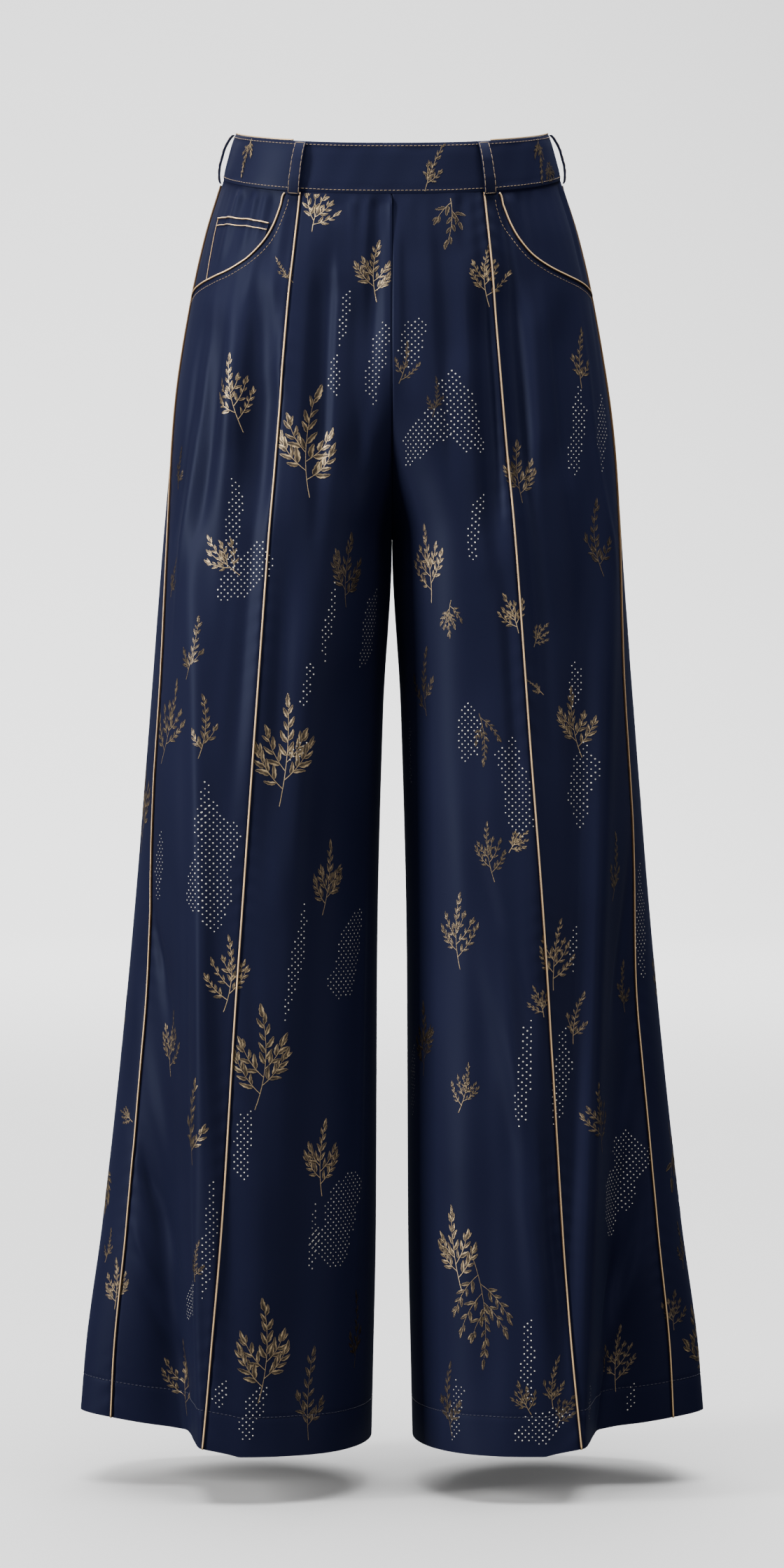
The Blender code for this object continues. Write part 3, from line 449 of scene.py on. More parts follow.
class Leg:
    """The cloth of one leg, with a place (s, z) for every point of it."""

    def __init__(self, side):
        """Sections at all levels are cut into three panels of even steps, eased past the
        crotch, dipped at the waist's front, lifted at the hem's side, and folded."""
        self.side = side
        bend = np.sin(np.linspace(0, np.pi / 2, 41))
        self.z = np.unique(np.round(np.concatenate([
            np.linspace(BAND_TOP + 0.004, CROTCH_TOP, 60),
            CROTCH_TOP - (CROTCH_TOP - CROTCH) * bend, np.linspace(CROTCH, HEM, 180)]), 7))
        self.z = self.z[np.concatenate([[True], np.diff(self.z) > 0.0005])]
        self.s = np.linspace(0, 3, 3 * PANEL_STEPS + 1)
        rows = levels(self.z)
        rings = [section({name: values[number] for name, values in rows.items()})
                 for number in range(len(self.z))]
        self.width = np.diff([ring[2] for ring in rings], axis=1)
        self.even = even = self.even_widths()
        t = self.s[:PANEL_STEPS + 1]
        cloth = np.zeros((len(self.z), len(self.s), 3))
        for number, (points, arc, mark) in enumerate(rings):
            spare = self.width[number] - even[number]
            at = np.concatenate([mark[1] - even[number, 0] * (1 - t) - spare[0] * (1 - t)**4,
                                 mark[1] + self.width[number, 1] * t[1:],
                                 mark[2] + even[number, 2] * t[1:] + spare[2] * t[1:]**4])
            for axis in (0, 1):
                cloth[number, :, axis] = np.interp(at, arc, points[:, axis])
        self.ease(cloth)
        x, y, z = cloth[..., 0], cloth[..., 1], self.z[:, None]
        forward = np.clip(-y / rows["front"][:, None], 0, 1)**1.25
        outward = np.clip((x - HEM_LIFT_FROM) / HEM_LIFT_WIDTH, 0, 1)**0.8
        cloth[..., 2] = z - rows["dip"][:, None] * forward + rows["lift"][:, None] * outward
        inner_edge = smooth(self.s / 0.12) * smooth((3 - self.s) / 0.12)
        cloth += self.normals(cloth) * (fold_heights(side, x, y, z) * inner_edge)[..., None]
        cloth[..., 0] = np.maximum(cloth[..., 0], 0)
        self.cloth, self.normal = cloth, self.normals(cloth)

    def even_widths(self):
        """Panel widths that change with the square of the depth below the crotch's top."""
        curve = (self.z < CROTCH_TOP) & (self.z > CROTCH)
        share = (((CROTCH_TOP - self.z) / (CROTCH_TOP - CROTCH))**2)[:, None]
        foot, top = self.width[self.z <= CROTCH][-1], self.width[self.z >= CROTCH_TOP][0]
        return np.where(curve[:, None], top + (foot - top) * share, self.width)

    def ease(self, cloth):
        """Averages the cloth up and down with a squared cosine for weight, away from the
        inner edges, so that it bends softly past the crotch."""
        level = np.arange(self.z[0] - 2 * EASE, self.z[-1] + 2 * EASE, EASE_STEP)
        row, t = between(self.z, level)
        t = np.clip(t, 0, 1)[:, None, None]
        even = cloth[row] * (1 - t) + cloth[row + 1] * t
        reach = int(EASE / EASE_STEP)
        weight = np.cos(np.linspace(-np.pi / 2, np.pi / 2, 2 * reach + 1))**2
        soft = sum(share * np.roll(even, shift, axis=0)
                   for shift, share in zip(range(-reach, reach + 1), weight / weight.sum()))
        row = np.clip(((self.z - level[0]) / EASE_STEP).astype(int), 0, len(level) - 2)
        t = ((self.z - level[row]) / EASE_STEP)[:, None, None]
        soft = soft[row] * (1 - t) + soft[row + 1] * t
        share = smooth(self.s / 0.45) * smooth((3 - self.s) / 0.3)
        high, low = smooth((-0.10 - self.z) / 0.08), smooth((self.z - HEM) / 0.10)
        cloth += (soft - cloth) * (share * high[:, None] * low[:, None])[..., None]

    def normals(self, cloth):
        """The cross product of the steps down and across, taken across the centre plane
        above the crotch and round the inseam below it."""
        above = (self.z > CROTCH + 1e-6)[:, None]
        mirror = np.array([-1, 1, 1])
        before = np.where(above, cloth[:, 1] * mirror, cloth[:, -2])
        after = np.where(above, cloth[:, -2] * mirror, cloth[:, 1])
        ring = np.concatenate([before[:, None], cloth, after[:, None]], axis=1)
        out = np.cross(-np.gradient(cloth, self.z, axis=0), ring[:, 2:] - ring[:, :-2])
        return out / np.maximum(np.linalg.norm(out, axis=-1), 1e-9)[..., None]

    def point_and_normal(self, s, z):
        """Cloth and its outward direction at the places (s, z), blended evenly between the
        four nearest nodes of the grid."""
        s, z = np.broadcast_arrays(np.asarray(s, float), np.asarray(z, float))
        row, v = between(self.z, z)
        col = np.clip((s * PANEL_STEPS).astype(int), 0, len(self.s) - 2)
        u, v = (s * PANEL_STEPS - col)[..., None], v[..., None]

        def blend(grid):
            """Values of a grid at the places."""
            return ((grid[row, col] * (1 - u) + grid[row, col + 1] * u) * (1 - v)
                    + (grid[row + 1, col] * (1 - u) + grid[row + 1, col + 1] * u) * v)

        side = np.array([self.side, 1, 1])
        return blend(self.cloth) * side, unit(blend(self.normal)) * side

    def at(self, s, z, out=0.0):
        """World points at the places (s, z), moved out from the cloth along its normal."""
        point, normal = self.point_and_normal(s, z)
        return point + normal * np.asarray(out, float)[..., None]

    def length(self, z, panel):
        """Width of one of the three panels at the heights z."""
        return np.interp(z, self.z, self.width[:, panel])

    def evens(self, z):
        """The even widths of the three panels at the heights z."""
        return [np.interp(z, self.z, width) for width in self.even.T]

    def arc(self, s, z):
        """Distance round the cloth from the princess seam, which is 0 at s = 1."""
        w0, w1, w2 = self.evens(z)
        return np.where(s < 1, (s - 1) * w0, np.where(s < 2, (s - 1) * w1, w1 + (s - 2) * w2))

    def place(self, u, z):
        """The s that lies a distance u round the cloth from the princess seam."""
        w0, w1, w2 = self.evens(z)
        return np.where(u < 0, 1 + u / w0, np.where(u < w1, 1 + u / w1, 2 + (u - w1) / w2))

    def along(self, s, z, distance):
        """The places a distance further round the cloth than s, within the same panel."""
        middle = np.mean(s)
        panel = np.clip(np.floor(np.abs(middle) + np.sign(distance * middle) * 0.001), 0, 2)
        return s + distance / self.length(z, int(panel))


# ---------------------------------------------------------------- finer relief
def creases(leg, u, z):
    """The sum of the creases: each is a bell across its straight line in (u, z), faded with
    a soft step at both ends."""
    total = np.zeros(np.broadcast(u, z).shape)
    for row in rows_for(CREASES, CREASE_COLUMNS, leg.side):
        du, dz = row["u_foot"] - row["u_top"], row["z_foot"] - row["z_top"]
        size = np.hypot(du, dz)
        along = ((u - row["u_top"]) * du + (z - row["z_top"]) * dz) / size**2
        across = ((u - row["u_top"]) * dz - (z - row["z_top"]) * du) / size
        ends = smooth((along + 0.15) / 0.45) * smooth((1.15 - along) / 0.45)
        total += row["height"] * ends * bell(across, row["width"])
    return total


def gathers(leg, s, z):
    """Cosines of three spacings across the cloth, uneven in height, that fade down from the
    waist seam."""
    q = leg.arc(s, np.full(np.shape(s), -0.06))
    total = 0
    for spacing, height, right, left in GATHERS:
        start = right if leg.side < 0 else left
        total = total + height * np.cos(2 * np.pi * q / spacing + start)
    uneven = 0.55 + 0.45 * np.sin(q / 0.019 + leg.side)
    depth, reach = BAND_SEAM - z, 0.075 + 0.03 * np.sin(q / 0.011)
    return total * uneven * np.exp(-depth / reach) * smooth((depth + 0.001) / 0.012)


def beside(leg, s, z, seam):
    """Distance across the cloth to a seam, which is at a whole number of s."""
    width = np.where(s < seam, leg.length(z, max(seam - 1, 0)), leg.length(z, min(seam, 2)))
    return np.abs(s - seam) * width


def puckers(leg, s, z):
    """Slanting ripples on both sides of the piped seams, which fade within a fingertip."""
    total = 0
    for seam in (1, 2):
        gap = beside(leg, s, z, seam)
        slant = z + 0.6 * gap + 0.02 * seam
        wave = np.sin(2 * np.pi * slant / 0.0165 + 2.2 * np.sin(z / 0.043 + seam))
        uneven = 0.45 + 0.55 * np.sin(z / 0.031 + 2 * seam + leg.side)
        fade = np.exp(-gap / 0.0065) * (1 - bell(gap, 0.0014))
        total = total + PUCKER_HEIGHT * wave * uneven * fade
    return total


def seam_rolls(leg, s, z):
    """Cloth that turns in at each seam: a narrow bell below the surface, wider under piping.
    A shallow one runs along the hem's stitches."""
    total = 0
    for seam, (depth, wide) in enumerate((INSEAM_ROLL, PIPED_ROLL, PIPED_ROLL, INSEAM_ROLL)):
        total = total - depth * bell(beside(leg, s, z, seam), wide)
    return total - 0.00022 * bell(z - HEM - HEM_DEPTH, 0.0016)


def folds(leg, s, z):
    """How far the creases and gathers together move the cloth out at the places (s, z). The
    creases flatten beside the side seam, and the gathers along the scoop."""
    s, z = np.broadcast_arrays(np.asarray(s, float), np.asarray(z, float))
    seam = 1 - 0.92 * bell((s - 2) * leg.length(z, 1), 0.012)
    edge = np.where((s > 1) & (s < 2), z - scoop_height(s - 1), 1.0)
    scoop = (1 - 0.8 * bell(edge, 0.018)) * bpy.context.scene.pants_cloth.gathers
    return creases(leg, leg.arc(s, z), z) * seam + gathers(leg, s, z) * scoop


def relief(leg, s, z):
    """The folds with the puckers beside the seams and the seams' turned edges."""
    ripples = puckers(leg, s, z) * bpy.context.scene.pants_cloth.puckers
    return folds(leg, s, z) + ripples + seam_rolls(leg, s, z)


LEGS = {word: Leg(side) for word, side in SIDES}


def both_legs(s, z, out):
    """Points at signed places: below zero on the wearer's right leg, above it on the left."""
    s, z, out = np.broadcast_arrays(s, z, out)
    right, left = (LEGS[word].at(np.abs(s), z, out) for word in ("right", "left"))
    points = np.where((s < 0)[..., None], right, left)
    centre = np.isclose(np.abs(s), 0) | np.isclose(np.abs(s), 3)
    points[..., 0] = np.where(centre, 0.0, points[..., 0])
    return points


def round_waist(half):
    """Signed places from the middle in front or behind, out and back on the other leg."""
    return np.concatenate([half, -half[-2::-1]])


def line_on(word, s, z, out):
    """A line through the places (s, z) of one leg, or of both when word is empty, moved out
    from the cloth, with its outward directions."""
    if word:
        line, normal = LEGS[word].point_and_normal(s, z)
        return line + normal * np.asarray(out)[..., None], normal
    line = both_legs(s, z, out)
    return line, both_legs(s, z, np.asarray(out) + 0.01) - line


# ---------------------------------------------------------------- meshes
def put(name, points, quads, tris, uv, surface):
    """A mesh piece from whole arrays: points, four- and three-sided faces and a UV for each
    point. It rides on the garment's one body."""
    quads, tris = np.asarray(quads, int).reshape(-1, 4), np.asarray(tris, int).reshape(-1, 3)
    corners = np.concatenate([quads.ravel(), tris.ravel()])
    starts = np.concatenate([np.arange(len(quads)) * 4, len(quads) * 4 + np.arange(len(tris)) * 3])
    data = bpy.data.meshes.new(name)
    data.vertices.add(len(points))
    data.vertices.foreach_set("co", np.ascontiguousarray(points, np.float32).ravel())
    data.loops.add(len(corners))
    data.loops.foreach_set("vertex_index", corners.astype(np.int32))
    data.polygons.add(len(starts))
    data.polygons.foreach_set("loop_start", starts.astype(np.int32))
    data.update(calc_edges=True)
    layer = data.uv_layers.new(name="cloth")
    layer.data.foreach_set("uv", np.asarray(uv, np.float32)[corners].ravel())
    data.shade_smooth()
    data.materials.append(surface)
    item = bpy.data.objects.new(name, data)
    bpy.context.scene.collection.objects.link(item)
    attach(item, "root")
    return item


def strips(a, b, c, d):
    """Four-sided faces from the point numbers of their corners."""
    return np.stack([a, b, c, d], axis=-1).reshape(-1, 4)


def grid_faces(index):
    """Four-sided faces of a grid of point numbers."""
    return strips(index[:-1, :-1], index[1:, :-1], index[1:, 1:], index[:-1, 1:])


def closed(index):
    """A grid of point numbers whose last column is joined to its first."""
    return np.concatenate([index, index[:, :1]], axis=1)


def outward(points, quads, tris):
    """Closed faces turned to look out: six times their volume, the sum of the first corner
    times the cross product of the next two, is then above zero."""
    points = points - points.mean(axis=0)
    a, b, c, d = (points[quads[:, number]] for number in range(4))
    total = np.sum(a * np.cross(b, c)) + np.sum(a * np.cross(c, d))
    a, b, c = (points[tris[:, number]] for number in range(3))
    turn = 1 if total + np.sum(a * np.cross(b, c)) >= 0 else -1
    return quads[:, ::turn], tris[:, ::turn]


def shell(name, outer, inner, uv):
    """A thin closed wall of crepe: a fine grid outside, every second row and column of the
    inner grid inside, and rims of triangles that join them along the four edges."""
    inner = inner[::2, ::2]
    front = np.arange(outer.shape[0] * outer.shape[1]).reshape(outer.shape[:2])
    back = np.arange(inner.shape[0] * inner.shape[1]).reshape(inner.shape[:2]) + front.size
    quads = np.concatenate([grid_faces(front), grid_faces(back)[:, ::-1]])
    tris = []
    for fine, coarse in ((front[0], back[0]), (front[:, -1], back[:, -1]),
                         (front[-1, ::-1], back[-1, ::-1]), (front[::-1, 0], back[::-1, 0])):
        tris += [np.column_stack([fine[:-1:2], fine[1::2], coarse[:-1]]),
                 np.column_stack([fine[1::2], coarse[1:], coarse[:-1]]),
                 np.column_stack([fine[1::2], fine[2::2], coarse[1:]])]
    points = np.concatenate([outer.reshape(-1, 3), inner.reshape(-1, 3)])
    quads, tris = outward(points, quads, np.concatenate(tris))
    flat = np.concatenate([uv.reshape(-1, 2), uv[::2, ::2].reshape(-1, 2)])
    item = put(name, points, quads, tris, flat, look("navy_satin", satin))
    item.data.set_sharp_from_angle(angle=np.radians(60))
    return item


def cord_mesh(line, out, radius, sides=12):
    """A round cord carried along a run of points with their outward directions: each ring is
    radius times the cosine along the outward direction and the sine across it. Its second UV
    is half the sine plus a half: 0.5 on the ridge, 0 and 1 at the sides."""
    ahead = unit(np.gradient(line, axis=0))
    across = unit(np.cross(ahead, out))
    out = np.cross(across, ahead)
    turn = np.linspace(0, 2 * np.pi, sides, endpoint=False)
    rings = line[:, None] + radius * (np.cos(turn)[:, None] * out[:, None]
                                      + np.sin(turn)[:, None] * across[:, None])
    index = closed(np.arange(len(line) * sides).reshape(-1, sides))
    first, last = len(line) * sides, len(line) * sides + 1
    points = np.concatenate([rings.reshape(-1, 3), line[:1], line[-1:]])
    tris = np.concatenate([np.column_stack([np.full(sides, first), index[0, :-1], index[0, 1:]]),
                           np.column_stack([np.full(sides, last), index[-1, 1:], index[-1, :-1]])])
    length = travelled(line)
    uv = np.concatenate([pair(length[:, None], 0.5 + 0.5 * np.sin(turn)).reshape(-1, 2),
                         [[0, 0.5], [length[-1], 0.5]]])
    return points, *outward(points, grid_faces(index), tris), uv


def join(parts, faces=(1, 2)):
    """Several pieces as one. Each is a row of arrays, points first; those at the numbers in
    faces hold point numbers."""
    shift = np.cumsum([0] + [len(part[0]) for part in parts])
    return [np.concatenate([values + start * (number in faces)
                            for values, start in zip(column, shift)])
            for number, column in enumerate(zip(*parts))]


def clustered(count, share=0.6):
    """Shares from 0 to 1 that lie closer at both ends: t less a sine of one turn."""
    t = np.linspace(0, 1, count)
    return t - share * np.sin(2 * np.pi * t) / (2 * np.pi)


def panel_levels():
    """Heights of a panel's rows: even, closer at the crotch and beside the hem stitches."""
    bend = CROTCH_TOP - (CROTCH_TOP - CROTCH) * np.sin(np.linspace(0, np.pi / 2, 49))
    stitch = HEM + HEM_DEPTH + np.array((-0.0030, -0.0015, 0.0, 0.0015, 0.0030))
    return np.concatenate([np.linspace(BAND_SEAM, CROTCH_TOP, 61)[:-1], bend,
                           np.linspace(CROTCH, stitch[-1] + 0.002, 196)[1:], stitch[::-1],
                           np.linspace(stitch[0] - 0.002, HEM, 12)])


def scoop_height(across):
    """Height of the pocket's edge at the shares across the front side panel."""
    return np.interp(across, *np.array(SCOOP).T)


# ---------------------------------------------------------------- materials
def feed(tree, node, inputs):
    """Gives inputs, by name or number, their values or the outputs that feed them."""
    for name, value in inputs.items():
        if isinstance(value, bpy.types.NodeSocket):
            tree.links.new(value, node.inputs[name])
        else:
            node.inputs[name].default_value = value
    return node


def add(tree, kind, inputs, **settings):
    """A new node of one kind, with its settings and inputs."""
    node = tree.nodes.new(kind)
    for name, value in settings.items():
        setattr(node, name, value)
    return feed(tree, node, inputs)


def noise(tree, scale, detail):
    """Noise in the piece's own space."""
    place = add(tree, "ShaderNodeTexCoord", {}).outputs["Object"]
    return add(tree, "ShaderNodeTexNoise",
               {"Vector": place, "Scale": scale, "Detail": detail}).outputs["Fac"]


def crepe_group():
    """Crepe grain: fine pebbles of noise over a slow change, as a height and a shade."""
    tree = bpy.data.node_groups.new("CrepeGrain", "ShaderNodeTree")
    for name, way, default in (("Scale", "INPUT", 900.0), ("Slow Scale", "INPUT", 14.0),
                               ("Height", "OUTPUT", 0.0), ("Shade", "OUTPUT", 0.0)):
        tree.interface.new_socket(name, in_out=way,
                                  socket_type="NodeSocketFloat").default_value = default
    start = add(tree, "NodeGroupInput", {})
    add(tree, "NodeGroupOutput", {"Height": noise(tree, start.outputs["Scale"], 3.0),
                                  "Shade": noise(tree, start.outputs["Slow Scale"], 2.0)})


def material(name):
    """A new material, its node tree and its surface shader."""
    made = bpy.data.materials.new(name)
    made.use_nodes = True
    return made, made.node_tree, made.node_tree.nodes["Principled BSDF"]


def mix_colour(tree, factor, low, high):
    """A colour between two, each of them given or the output of a node."""
    low, high = (end if isinstance(end, bpy.types.NodeSocket) else (*end, 1)
                 for end in (low, high))
    return add(tree, "ShaderNodeMix", {0: factor, 6: low, 7: high}, data_type="RGBA").outputs[2]


def spread(tree, value, low, high, new_low, new_high):
    """A value carried over from one range to another."""
    return add(tree, "ShaderNodeMapRange",
               {"Value": value, "From Min": low, "From Max": high,
                "To Min": new_low, "To Max": new_high}).outputs["Result"]


def sums(tree, operation, first, second):
    """One sum of two values."""
    return add(tree, "ShaderNodeMath", {0: first, 1: second}, operation=operation).outputs[0]


def dents(tree, height, strength, distance):
    """A normal dented by a height."""
    return add(tree, "ShaderNodeBump", {"Strength": strength, "Distance": distance,
                                        "Height": height}).outputs["Normal"]


def winding(tree, threads, scale, distortion):
    """The piece's own UV, and a slanting wave of threads wound round the piece on it."""
    place = add(tree, "ShaderNodeUVMap", {}, uv_map="cloth").outputs["UV"]
    turn = add(tree, "ShaderNodeMapping", {"Vector": place, "Scale": (threads, 3.0, 1.0)})
    wave = add(tree, "ShaderNodeTexWave", {"Vector": turn.outputs["Vector"], "Scale": scale,
                                           "Distortion": distortion}, bands_direction="DIAGONAL")
    return place, wave.outputs["Fac"]


def satin(name):
    """Satin-faced crepe: slow changes of colour, fine grain in the height and a soft sheen."""
    cloth = bpy.context.scene.pants_cloth
    made, tree, shader = material(name)
    grain = add(tree, "ShaderNodeGroup", {}, node_tree=bpy.data.node_groups["CrepeGrain"])
    feed(tree, grain, {"Scale": 1100.0, "Slow Scale": 9.0})
    height, shade = grain.outputs["Height"], grain.outputs["Shade"]
    colour = np.array(cloth.colour)
    feed(tree, shader, {
        "Base Color": mix_colour(tree, spread(tree, shade, 0.3, 0.7, 0, 1),
                                 colour * 0.90, colour * 1.10),
        "Roughness": spread(tree, shade, 0.3, 0.7, cloth.roughness - 0.03, cloth.roughness + 0.03),
        "Normal": dents(tree, height, 0.35, 0.00012),
        "Specular IOR Level": 0.10,
        "Specular Tint": (0.55, 0.66, 1.0, 1),
        "Sheen Weight": 0.02,
        "Sheen Roughness": 0.45,
        "Sheen Tint": (0.35, 0.45, 0.85, 1)})
    return made


def piping_cloth(name):
    """Gold satin wound on a cord: slanting threads from a wave on the piece's own UV, and painted
    shade: the colour darkens to brown on the cord's sides, where it sinks between the cloths."""
    made, tree, shader = material(name)
    colour = np.array(bpy.context.scene.pants_piping.colour)
    place, wave = winding(tree, 1400.0, 0.32, 0.6)
    wound = mix_colour(tree, wave, colour * 0.88, np.minimum(colour * 1.05, 1))
    parts = add(tree, "ShaderNodeSeparateXYZ", {"Vector": place})
    # painted shade: the colour goes dark towards the cord's sides, away from 0.5 of the second UV
    # coordinate
    off = sums(tree, "PINGPONG", parts.outputs["Y"], 0.5)
    edge = spread(tree, off, 0.30, 0.13, 0, 1)
    feed(tree, shader, {
        "Base Color": mix_colour(tree, edge, wound, colour * np.array((0.10, 0.07, 0.05))),
        "Normal": dents(tree, wave, 0.25, 0.00010),
        "Roughness": 0.36,
        "Metallic": 0.30})
    return made


def thread(name, colour):
    """Twisted sewing thread: a slanting wave on its own UV darkens it."""
    made, tree, shader = material(name)
    colour = np.array(colour)
    wave = winding(tree, 1800.0, 0.5, 0.0)[1]
    feed(tree, shader, {"Base Color": mix_colour(tree, wave, colour * 0.7, colour * 1.1),
                        "Roughness": 0.5, "Sheen Weight": 0.2})
    return made


def foil(name, dark, bright, metal):
    """Printed foil: the square of the piece's own tone goes from dark bronze to bright gold,
    broken by fine noise. The tone holds the print's own faint parts together with painted shade
    and painted highlight."""
    made, tree, shader = material(name)
    tone = add(tree, "ShaderNodeAttribute", {}, attribute_name="tone").outputs["Fac"]
    speck = noise(tree, 1300.0, 3.0)
    # painted shade and highlight, with faint print: the tone darkens foil that lies in shade and
    # brightens the lit halves of leaves
    fade_and_painted_light = sums(tree, "MULTIPLY", sums(tree, "POWER", tone, 2.0),
                spread(tree, speck, 0.35, 0.65, 0.72, 1.12))
    feed(tree, shader, {
        "Base Color": mix_colour(tree, fade_and_painted_light, dark, bright),
        "Roughness": spread(tree, speck, 0.3, 0.7, 0.30, 0.50),
        "Normal": dents(tree, speck, 0.8, 0.0004),
        "Metallic": metal})
    return made


LOOKS = {}


def look(name, make, *values):
    """A material, made the first time that it is asked for."""
    if name not in LOOKS:
        LOOKS[name] = make(name, *values)
    return LOOKS[name]


# ---------------------------------------------------------------- settings
def metres(name, description, default, least, most):
    """A length among the settings."""
    return FloatProperty(name=name, description=description, default=default,
                         min=least, max=most, unit="LENGTH")


def ratio(name, description, default, most=1.0):
    """A plain number among the settings."""
    return FloatProperty(name=name, description=description, default=default, min=0.0, max=most)


def watts(name, description, default):
    """A lamp's power among the settings."""
    return FloatProperty(name=name, description=description, default=default,
                         min=0.0, unit="POWER")


def tint(name, description, default):
    """A colour among the settings."""
    return FloatVectorProperty(name=name, description=description, subtype="COLOR",
                               default=default, min=0.0, max=1.0)


class ClothSettings(bpy.types.PropertyGroup):
    """Cloth of the panels, band, loops and pockets."""
    wall: metres("Wall", "Thickness of the crepe", CLOTH, 0.0005, 0.002)
    gathers: ratio("Gathers", "Height of the small gathers under the band", 1.0, 2.0)
    puckers: ratio("Puckers", "Height of the ripples beside the piping", 1.0, 2.0)
    colour: tint("Colour", "Colour of the crepe", (0.0085, 0.0098, 0.0280))
    roughness: ratio("Roughness", "How soft its gloss is", 0.50)


class PipingSettings(bpy.types.PropertyGroup):
    """Piping on the seams and pocket edges."""
    radius: metres("Radius", "Radius of the seam piping", 0.00088, 0.0005, 0.002)
    colour: tint("Colour", "Colour of the piping", (0.95, 0.66, 0.35))


class SewingSettings(bpy.types.PropertyGroup):
    """Topstitching."""
    stitch: metres("Stitch", "Length of one stitch", 0.0024, 0.001, 0.006)
    gap: metres("Gap", "Cloth between two stitches", 0.0009, 0.0003, 0.003)
    radius: metres("Thread", "Radius of the thread", 0.00022, 0.0001, 0.0006)
    colour: tint("Colour", "Colour of the thread", (0.36, 0.25, 0.14))


class PrintSettings(bpy.types.PropertyGroup):
    """Foil print."""
    dot: metres("Dot", "Radius of a pin dot", 0.00054, 0.0002, 0.002)
    pitch: metres("Pitch", "Distance between dots in a row", 0.0053, 0.002, 0.02)
    bright: tint("Bright", "Colour of fresh foil", (1.0, 0.75, 0.41))
    # the dark end of the foil's tone: faint print, and painted shade on foil that lies in shade
    dark: tint("Faint", "Colour of faint foil", (0.020, 0.015, 0.016))
    seed: IntProperty(name="Seed", description="Which small differences the sprigs have",
                      default=7)


class StageSettings(bpy.types.PropertyGroup):
    """Floor and light."""
    floor: tint("Floor", "Colour of the floor", (0.72, 0.72, 0.72))
    key: watts("Key light", "Power of the large light", 292.0)
    fill: watts("Front light", "Power of the light beside the camera", 50.0)
    top: watts("Top light", "Power of the light over the floor", 370.0)
    wall: watts("Wall light", "Power of the lights on the backdrop", 740.0)
    world: ratio("World", "Strength of the light from all round", 0.08, 10.0)


# ---------------------------------------------------------------- pieces
def scoop_line(q):
    """The panel's top edge from the princess seam down the scoop to the side seam, at the
    shares q: a cubic curve through the table's rows, each slope the mean of its neighbours'."""
    rows = np.vstack([[0.0, BAND_SEAM], np.array(SCOOP)])
    slope = np.gradient(rows, axis=0)
    t = np.clip(q, 0, 1) * (len(rows) - 1)
    row = np.clip(t.astype(int), 0, len(rows) - 2)
    return hermite((t - row)[..., None], rows[row], rows[row + 1], slope[row], slope[row + 1])


def side_panel_places():
    """Places of the front side panel: columns start along the scoop and spread evenly."""
    q = clustered(81)
    edge = scoop_line(q)
    z = panel_levels()
    below = z[z < SCOOP_FOOT]
    count = len(z) - len(below)
    v = np.linspace(0, 1, count, endpoint=False)[:, None]
    start = below[0] + (z[count - 1] - z[count])
    z_top = edge[:, 1] + (start - edge[:, 1]) * v
    s_top = edge[:, 0] + (q - edge[:, 0]) * smooth(v)
    z = np.concatenate([z_top, np.repeat(below[:, None], len(q), axis=1)])
    return 1 + np.concatenate([s_top, np.repeat(q[None], len(below), axis=0)]), z


def leg_shell(name, leg, s, z, outside, inside):
    """A shell between two distances from the leg's surface."""
    uv = pair(leg.arc(s, z), z)
    return shell(name, leg.at(s, z, outside), leg.at(s, z, inside), uv)


class PANTS_OT_leg_panels(bpy.types.Operator):
    """Build the front inner, front side and back panels of both legs"""
    bl_idname = "pants.leg_panels"
    bl_label = "Leg Panels"

    def execute(self, context):
        wall = context.scene.pants_cloth.wall
        z = panel_levels()[:, None]
        level = z[::-1, 0]
        for word, leg in LEGS.items():
            for panel, node, (s, z_panel) in (
                    (0, "front_inner_", (clustered(81), z)),
                    (1, "front_side_", side_panel_places()),
                    (2, "back_panel_", (2 + clustered(105), z))):
                s, z_panel = np.broadcast_arrays(s, z_panel)
                fine = relief(leg, s, z_panel)
                item = leg_shell(node + word + "_cloth", leg, s, z_panel, fine, fine - wall)
                across = leg.length(level, panel)
                area = float(np.sum((across[1:] + across[:-1]) / 2 * np.diff(level)))
                if panel == 1:
                    area -= SCOOP_AREA
                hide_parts(node + word)
        return {"FINISHED"}


class PANTS_OT_waistband(bpy.types.Operator):
    """Build the band in front and behind, with a soft top edge"""
    bl_idname = "pants.waistband"
    bl_label = "Waistband"

    def execute(self, context):
        t = np.linspace(0, 1, 25)
        height = BAND_TOP - BAND_SEAM
        z = (BAND_TOP - height * t)[:, None]
        edge = np.minimum(height * t, height * (1 - t))[:, None]
        turned = 0.0006 * (1 - smooth(edge / 0.0011))
        swell = 0.00025 * smooth((edge - 0.003) / 0.006) - turned
        for node, s in (("waistband_front", np.linspace(-2, 2, 241)),
                        ("waistband_back", round_waist(2 + np.linspace(0, 1, 111)))):
            s = s[None]
            length = travelled(both_legs(s, z[:1], 0.0)[0])
            ripple = (0.00026 * np.sin(length / 0.0117 + np.sin(length / 0.031) + 40 * z)
                      + 0.00022 * np.sin(length / 0.0053 + 2 * np.sin(length / 0.023) - 90 * z))
            end = np.minimum(length, length[-1] - length)[None]
            out = BAND_PROUD + swell + ripple * smooth(edge / 0.006) - 0.0005 * bell(end, 0.0008)
            item = shell(node + "_cloth", both_legs(s, z, out),
                         both_legs(s, z, BAND_PROUD - BAND_WALL + turned), pair(length[None], z))
            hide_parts(node)
        return {"FINISHED"}


def yoke_depth(across, z):
    """Depth of the yoke inside the cloth's outer face: it sinks towards the scoop, and comes
    up to meet the back panel at the side seam."""
    edge = scoop_height(across)
    top = BAND_SEAM - 0.0003
    deep = CLOTH + 0.0004 + YOKE_SINK * smooth((top - z) / (top - edge))
    return deep * (1 - smooth((across - 0.80) / 0.20) * smooth((z - edge - 0.0002) / 0.007))


def yoke_gathers(leg, s, z):
    """The waist's gathers on the yoke, held flat along the scoop and the side seam."""
    flat = smooth((z - scoop_height(s - 1)) / 0.025) * smooth((2 - s) * leg.length(z, 1) / 0.010)
    return gathers(leg, s, z) * 0.8 * flat


